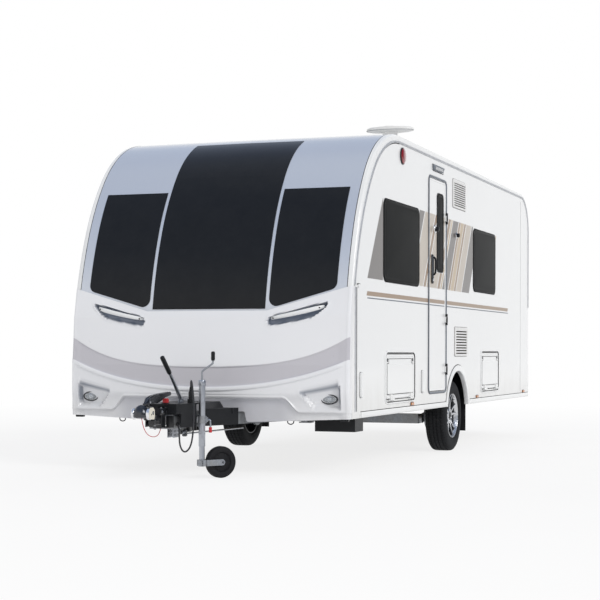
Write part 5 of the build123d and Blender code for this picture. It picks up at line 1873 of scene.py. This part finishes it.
# ---- jockey wheel -------------------------------------------------------------------------------
JOCKEY_X, JOCKEY_Y = 196, -3745
JOCKEY_AXIS = at(JOCKEY_X, JOCKEY_Y, 0)
JOCKEY_TOP, JOCKEY_LOW = 712, 232
JOCKEY_HEADING = 50        # which way the wheel trails, degrees from +X
JOCKEY_TRAIL, JOCKEY_RADIUS = 150, 115
JOCKEY_TREAD = [(22, -29), (66, -19), (68, -18), (74, -27), (84, -29.6), (104, -29), (112, -24), (115, -15),
                (115, 15), (112, 24), (104, 29), (84, 29.6), (74, 27), (68, 18), (66, 19), (22, 29)]
CRANK_OFFSET = 85          # the crank's grip from the tube's axis
# how far from the tube's axis, and Z
CRANK_PATH = ((0, 710), (0, 742), (0, 766), (8, 778), (75, 824), (83, 836), (85, 852))
TEE_PATH = ((28, 425), (54, 425), (63, 421), (66, 410), (66, 366))
FORK_HALF, FORK_PLATE = 36, 8


def jockey_at(forward, aside, z):
    """A point in the jockey fork's own directions, at rest."""
    turn = radians(JOCKEY_HEADING)
    x = JOCKEY_X + forward * cos(turn) - aside * sin(turn)
    return at(x, JOCKEY_Y + forward * sin(turn) + aside * cos(turn), z)


JOCKEY_HUB = jockey_at(JOCKEY_TRAIL, 0, JOCKEY_RADIUS)
JOCKEY_AXLE = jockey_at(0, 1, 0) - jockey_at(0, 0, 0)  # one millimetre along the axle


def jockey_tube(form):
    """The outer tube with its head and rings, and the crank with its grip."""
    low, high = JOCKEY_LOW, JOCKEY_TOP
    wall = [(20.4, low), (23.4, low + 0.4), (24, low + 2), (24, high - 40), (27.6, high - 39),
            (28.6, high - 36), (28.6, high - 5), (26, high - 1), (9, high)]
    form.turned(JOCKEY_AXIS, UP, wall, 0, 44)
    for z in (320, 560):
        form.turned(JOCKEY_AXIS, UP, [(24, z), (24.6, z + 1), (24.6, z + 5), (24, z + 6)], 0, 44)
    crank = [at(JOCKEY_X + dx, JOCKEY_Y, z) for dx, z in CRANK_PATH]
    form.tube(curved(crank, 5), 7, 3, 16)
    grip = [(10, 0), (13.6, 3), (14.8, 12), (14.2, 34), (14.8, 56), (12, 64), (5, 66.6)]
    form.turned(at(JOCKEY_X + CRANK_OFFSET, JOCKEY_Y, 850), UP, grip, 1, 28)


def jockey_clamp(form):
    """The clamp on the drawbar, with its screw and red-tipped tee bar."""
    x, y = JOCKEY_X, JOCKEY_Y
    collar = [(25, 398), (33.4, 399), (34, 402), (34, 448), (33.4, 451), (25, 452)]
    form.turned(JOCKEY_AXIS, UP, collar, 3, 44)
    form.block((122, x - 20), (y - 31, y + 31), (403, 447), 3, 3)
    for z in (412, 438):
        form.bolt(at(136, y - 31, z), -ALONG_Y, 7, 7, 0)
    form.block((x + 20, x + 44), (y - 14, y + 14), (408, 442), 3, 3)
    form.tube(curved([at(x + dx, y, z) for dx, z in TEE_PATH], 5), 6.5, 0, 14)
    knob = [(6, 0), (11.6, 2), (12, 8), (10.4, 20), (12, 33), (11, 39), (6, 40)]
    form.turned(at(x + 66, y, 332), UP, knob, 2, 24)


def jockey_outer():
    """The jockey wheel's fixed part as one piece."""
    form = Form("steel", "black", "red", "zinc")
    jockey_tube(form)
    jockey_clamp(form)
    form.make("jockey_outer_tube", slot="zinc_steel", replaces=["jockey_tube"], sharp=40)


def jockey_stem():
    """The inner tube with its row of holes, and the pin below it."""
    form = Form("steel", "dark_steel")
    form.turned(JOCKEY_AXIS, UP, [(19, 138.4), (20, 139), (20, 604)], 0, 40)
    form.turned(JOCKEY_AXIS, UP, [(11.8, 88.2), (12, 89), (12, 139)], 1, 28)
    for i in range(12):
        hole = at(JOCKEY_X, JOCKEY_Y - 19.4, 250 + i * 25)
        form.turned(hole, -ALONG_Y, [(5, 0), (5, 0.55)], 1, 14)
    form.make("jockey_inner_stem", body="jockey_stem", slot="zinc_steel", replaces=["jockey_stem"])


def jockey_fork():
    """The fork's head, its two cheeks and bridges, and the axle with its washers and nuts."""
    form = Form("zinc", "steel", "black")
    head = [(13, 88), (25, 88.5), (26, 91), (26, 135), (25, 137.6), (13, 138)]
    form.turned(JOCKEY_AXIS, UP, head, 0, 40)
    end = JOCKEY_TRAIL - 6
    nose = [(end + 22 * sin(radians(a)), 115 - 22 * cos(radians(a))) for a in range(0, 181, 20)]
    cheek = [(-18, 91)] + nose + [(-18, 135)]
    for low in (-FORK_HALF - FORK_PLATE, FORK_HALF):
        form.prism(cheek, lambda u, v, w: jockey_at(u, w, v), low, low + FORK_PLATE, 1.2, 0)
    for forward in (-18, 12):
        corners = ((forward, -44), (forward + 8, -44), (forward + 8, 44), (forward, 44))
        form.loops([[jockey_at(u, v, z) for u, v in corners] for z in (91, 135)], 0)
    form.turned(JOCKEY_HUB, JOCKEY_AXLE, [(7.6, -50), (8, -49), (8, 49), (7.6, 50)], 1, 24)
    for s in SIDES:
        face = JOCKEY_HUB + JOCKEY_AXLE * s * 44
        form.turned(face, JOCKEY_AXLE * s, [(14, 0), (14, 1.6), (10, 1.8)], 1, 24)
        form.turned(face, JOCKEY_AXLE * s, [(10.5, 1.6), (10.5, 5), (8.6, 6)], 2, 6)
    form.make("jockey_fork_arms", body="jockey_fork", slot="zinc_steel", replaces=["jockey_fork"])


def jockey_wheel():
    """The solid tyre, and on each side a dark hub with its ribs."""
    form = Form("rubber", "black")
    form.turned(JOCKEY_HUB, JOCKEY_AXLE, JOCKEY_TREAD, 0, 64)
    for s in SIDES:
        hub = [(9, 29.9), (20, 29.9), (22, 28), (24, 20), (24, 12)]
        form.turned(JOCKEY_HUB, JOCKEY_AXLE * s, hub, 1, 32, (True, False))
        for turn in turns(6):
            out = jockey_at(cos(turn), 0, 100 + sin(turn)) - jockey_at(0, 0, 100)
            rib = [JOCKEY_HUB + JOCKEY_AXLE * s * beside + out * far
                   for beside, far in ((21.5, 22), (20.5, 64))]
            form.tube(rib, 3.4, 1, 8)
    form.make("jockey_tyre", body="jockey_wheel", slot="rubber_black", replaces=["jockey_wheel"], sharp=40)


coupling_head()
coupling_bracket()
coupling_lever()
dock_button()
brake_gear()
drawbar_caps()
hand_brake()
jockey_outer()
jockey_stem()
jockey_fork()
jockey_wheel()


# ---- rear ---------------------------------------------------------------------------------------
REAR_LAMP = (930, 1040, 860, 1330)         # range of X and Z
REAR_LAMP_PROUD = 18
HIGH_LAMP_Z, HIGH_LAMP_PROUD = 2160, 12
HIGH_LAMP_HALF = (150, 17)                 # half width, half height
REAR_JOINT_X = 870
REAR_HANDLE_X = 560
REAR_HANDLE_PATH = ((2, 960), (26, 968), (36, 990), (36, 1120), (26, 1142), (2, 1150))      # distance out, Z
REFLECTOR = (760, 900)     # X, Z
PLATE_HOLDER, PLATE_FACE = (-275, 275, 900, 1040), (-260, 260, 912, 1024)                    # ranges of X, Z
PLATE_LAMP, PLATE_LENS = (-70, 70, 1046, 1076), (-58, 58, 1043, 1047)
UPRIGHT_JOINT = (2779, 2781, 478, 2560)    # ranges of Y and Z
LEVEL_JOINT = (-2940, 3170, 1418, 1422)


def rear_lamps():
    """Two upright clusters and the level lamp high up."""
    form = Form("black", "lamp_red", "amber", "clear", "chrome")
    x0, x1, z0, z1 = REAR_LAMP
    x = (x0 + x1) / 2
    lenses = ((z1 - 210, z1 - 14, 1), (z1 - 298, z1 - 218, 2), (z1 - 378, z1 - 306, 3),
              (z0 + 14, z1 - 386, 1))
    for side in SIDES:
        place = rear_plane(side)
        form.prism(rounded(*REAR_LAMP, 30), place, SUNK, 9, 3, 0)
        for low, high, kind in lenses:
            form.prism(rounded(x0 + 10, x1 - 10, low, high, 20), place, 8, REAR_LAMP_PROUD, 4, kind)
        ring = [(36, -8), (36, 1.5), (33, 2.8), (29, 2.8), (28, 0.5)]
        form.turned(place(x, z1 - 90, REAR_LAMP_PROUD - 3), ALONG_Y, ring, 4, 36, (True, False))
        for z in (z0 + 7, z1 - 7):
            form.screw(place(x, z, 8), 4)
    wide, tall = HIGH_LAMP_HALF
    form.prism(centred(0, HIGH_LAMP_Z, wide, tall, tall * 2 / 3), rear_wall, SUNK, 6, 2, 0)
    form.prism(centred(0, HIGH_LAMP_Z, wide - 5, tall - 5, tall / 2), rear_wall, 5, HIGH_LAMP_PROUD, 2, 1)
    form.make("rear_lamp_clusters", slot="lamp_red", replaces=["rear_lamps"])


def rear_joints():
    """Two upright joint lines and the one over the bumper."""
    form = Form("seal")
    for x in (-REAR_JOINT_X, REAR_JOINT_X):
        form.prism(box_outline(x - 1.5, x + 1.5, 806, 2190), rear_wall, SUNK, 1, 0.3)
    form.prism(box_outline(-1090, 1090, 801, 806), rear_wall, SUNK, 1.5, 0.4)
    form.make("rear_joint_lines")


def plate_holder():
    """The bare holder of the number plate, and the lamp over it."""
    form = Form("black", "grey", "clear")
    form.prism(rounded(*PLATE_HOLDER, 14), rear_wall, SUNK, 10, 3, 0)
    form.prism(rounded(*PLATE_FACE, 8), rear_wall, 9, 11.5, 1, 1)
    form.prism(rounded(*PLATE_LAMP, 10), rear_wall, SUNK, 30, 5, 0)
    form.prism(rounded(*PLATE_LENS, 1.5), rear_wall, 8, 24, 1, 2)
    form.make("plate_holder_bare")


def rear_handles():
    """The two grab handles on their feet, and two round reflectors."""
    form = Form("white_plain", "lamp_red", "black")
    for side in SIDES:
        place = rear_plane(side)
        form.tube(curved([place(REAR_HANDLE_X, z, out) for out, z in REAR_HANDLE_PATH], 5), 10, 0, 18)
        for z in (REAR_HANDLE_PATH[0][1], REAR_HANDLE_PATH[-1][1]):
            form.prism(centred(REAR_HANDLE_X, z, 22, 26, 14), place, SUNK, 6, 2.5, 0)
            for dz in (-17, 17):
                form.screw(place(REAR_HANDLE_X, z + dz, 5), 2)
        form.turned(place(*REFLECTOR, 0), ALONG_Y, [(34, -1), (34, 5), (32, 7)], 2, 36)
        form.turned(place(*REFLECTOR, 0), ALONG_Y, [(30, 5), (30, 8), (27, 10)], 1, 36)
    form.make("rear_handles_and_reflectors")


def side_joints():
    """An upright joint line of the wall sheets on each side, and the level one on the off side."""
    form = Form("seal")
    for side in SIDES:
        form.prism(box_outline(*UPRIGHT_JOINT), side_plane(side), SUNK, 0.8, 0.2)
    form.prism(box_outline(*LEVEL_JOINT), side_plane(-1), SUNK, 0.8, 0.3)
    form.make("wall_joint_lines")


rear_lamps()
rear_joints()
plate_holder()
rear_handles()
side_joints()


# ---- coloured film on the walls -----------------------------------------------------------------
BAND_FOOT = 1475
BAND_LEAN = 0.62
BAND_STRIPES = ((-2790, -1560, "taupe"), (-1538, -1220, "pale"), (-1198, -1130, "bronze"),
                (-1108, -760, "pale"), (-738, -662, "bronze"), (-640, -596, "gold"), (-574, -380, "taupe"),
                (-358, -300, "bronze"), (-284, -170, "gold"), (-154, -96, "bronze"), (-74, 120, "pale"),
                (142, 420, "taupe"), (1080, 1150, "bronze"), (1166, 1200, "gold"))
PINSTRIPES = ((1342, 1376, "bronze"), (1320, 1329, "grey"))
FILM_ENDS = (-2790, 2150)
FILM_COLOURS = ("taupe", "pale", "bronze", "gold", "grey")
FILM_LEVELS = (-0.5, 0.5)
# name, side, body, the areas between the windows, and the runs of the level lines
FILMS = (
    ("near_film", 1, "root",
     ((-2900, -2386, 1475, 2119), (-1327, -1052, 1475, 2119), (-425, 579, 1475, 2119),
      (1554, 2100, 1502, 2102)),
     ((FILM_ENDS[0], -1052), (-425, FILM_ENDS[1]))),
    ("door_film", 1, "door",
     ((-1002, -769, 1475, 2119), (-769, -536, 1475, 1614), (-536, -490, 1475, 2119)),
     ((-1002, -490),)),
    ("off_film", -1, "root",
     ((-2900, -2386, 1475, 2119), (-1327, -769, 1475, 2119), (249, 891, 1475, 2119),
      (1759, 2100, 1502, 2102)),
     (FILM_ENDS,)),
)


def clipped(outline, limit, keep):
    """The part of a convex outline beyond a limit along it (keep 1) or before it (keep -1)."""
    result = []
    for a, b in zip(outline, outline[1:] + outline[:1]):
        kept, next_kept = keep * (a[0] - limit) >= 0, keep * (b[0] - limit) >= 0
        if kept:
            result.append(a)
        if kept != next_kept:
            share = (limit - a[0]) / (b[0] - a[0])
            result.append((limit, a[1] + (b[1] - a[1]) * share))
    return result


def film(name, side, body, areas, runs):
    """Slanted stripes between the windows, and two level lines under them."""
    form = Form(*FILM_COLOURS)
    place = side_plane(side)
    for low, high, colour in BAND_STRIPES:
        for u0, u1, v0, v1 in areas:
            foot, head = BAND_LEAN * (v0 - BAND_FOOT), BAND_LEAN * (v1 - BAND_FOOT)
            outline = [(low + foot, v0), (high + foot, v0), (high + head, v1), (low + head, v1)]
            outline = clipped(clipped(outline, u0, 1), u1, -1)
            if len(outline) > 2:
                form.stack([(outline, w) for w in FILM_LEVELS], place, FILM_COLOURS.index(colour))
    for v0, v1, colour in PINSTRIPES:
        slant = BAND_LEAN * (v0 - v1)
        for u0, u1 in runs:
            first = u0 + (slant if u0 == FILM_ENDS[0] else 0)
            last = u1 + (slant if u1 == FILM_ENDS[1] else 0)
            outline = [(first, v0), (last, v0), (u1, v1), (u0, v1)]
            form.stack([(outline, w) for w in FILM_LEVELS], place, FILM_COLOURS.index(colour))
    form.make(name, body=body)


for settings in FILMS:
    film(*settings)


# ---- joint between moulding and side wall -------------------------------------------------------
FLANK_STRIP, FLANK_LINE = (-3098, -3060, 472, 1396), (-3059, -3044, 472, 1396)               # ranges of Y, Z


def flank_seams():
    """Below the silver, a light strip and a dark line stand on the wall just behind the moulding."""
    form = Form("trim", "seal")
    for side in SIDES:
        form.prism(rounded(*FLANK_STRIP, 4), side_plane(side), SUNK, 2.5, 1.2, 0)
        form.prism(rounded(*FLANK_LINE, 3), side_plane(side), SUNK, 1.4, 0.5, 1)
    form.make("flank_seams")


flank_seams()


# ---- floor and light ----------------------------------------------------------------------------
FLOOR_REACH = 60
KEY_DIRECTION = Vector((0.80, -0.42, 0.62))
# height of the direction, colour
SKY = ((0.0, (1.0, 1.0, 1.0)), (0.30, (1.0, 1.0, 1.0)), (0.60, (0.46, 0.54, 0.70)),
       (0.85, (0.36, 0.44, 0.62)), (1.0, (0.55, 0.62, 0.75)))
BESIDE = (0.045, 0.085, 0.16)              # what glossy faces see towards the near side
SOFT_LIGHT = (0.90, 0.905, 0.925)          # what lights everything else


def floor_material():
    """A pale floor; to the camera and in glossy faces it fades into white away from the caravan."""
    n = Nodes("floor")
    colour = n.ramp(n.noise(0.6, 3), (0.3, (0.84, 0.84, 0.85)), (0.7, (0.88, 0.88, 0.89)))
    n.set(Base_Color=colour, Roughness=0.9)
    rays = n.add("ShaderNodeLightPath").outputs
    glow = n.add("ShaderNodeEmission")
    glow.inputs["Color"].default_value = (1, 1, 1, 1)
    glow.inputs["Strength"].default_value = 1.0
    seen = n.highest(rays["Is Camera Ray"], rays["Is Glossy Ray"], rays["Is Transmission Ray"])
    length = n.add("ShaderNodeVectorMath", operation="LENGTH")
    n.join(n.place, length.inputs[0])
    share = n.ranged(length.outputs["Value"], 0.80, 1.0, 4.5, 13.0)
    both = n.add("ShaderNodeMixShader")
    n.join(n.maths("MULTIPLY", seen, share), both.inputs["Fac"])
    n.join(n.shader.outputs[0], both.inputs[1])
    n.join(glow.outputs[0], both.inputs[2])
    n.join(both.outputs[0], n.tree.nodes["Material Output"].inputs["Surface"])
    return n.material


def make_stage():
    """The floor."""
    mesh = bpy.data.meshes.new("floor")
    corners = box_outline(-FLOOR_REACH, FLOOR_REACH, -FLOOR_REACH, FLOOR_REACH)
    mesh.from_pydata([(x, y, 0) for x, y in corners], [], [(0, 1, 2, 3)])
    floor = bpy.data.objects.new("floor", mesh)
    scene.collection.objects.link(floor)
    mesh.materials.append(floor_material())


def make_world():
    """White low down and blue-grey overhead for the camera and for glossy or clear faces.

    Other rays meet an even light, and glossy faces see something darker towards the near side.
    """
    scene.world = bpy.data.worlds.new("studio")
    scene.world.use_nodes = True
    n = Tree(scene.world.node_tree)
    direction = n.add("ShaderNodeTexCoord").outputs["Generated"]
    rays = n.add("ShaderNodeLightPath").outputs
    sky = n.ramp(n.along(direction, "Z"), *SKY)
    beside = n.ranged(n.along(direction, "X"), 0.0, 0.92, 0.10, 0.75, interpolation_type="SMOOTHSTEP")
    sky = n.mix(n.maths("MULTIPLY", beside, rays["Is Glossy Ray"]), sky, BESIDE)
    seen = n.highest(rays["Is Camera Ray"], rays["Is Glossy Ray"], rays["Is Transmission Ray"])
    background = n.tree.nodes["Background"]
    n.join(n.mix(seen, SOFT_LIGHT, sky), background.inputs["Color"])
    n.join(n.ranged(seen, 0.72, 1.0), background.inputs["Strength"])


def make_key():
    """The soft sun."""
    key = bpy.data.lights.new("key", "SUN")
    key.energy = 1.25
    key.angle = radians(25)
    key.color = (1.0, 0.985, 0.96)
    lamp = bpy.data.objects.new("key", key)
    lamp.rotation_euler = KEY_DIRECTION.to_track_quat("Z", "Y").to_euler()
    scene.collection.objects.link(lamp)


make_stage()
make_world()
make_key()
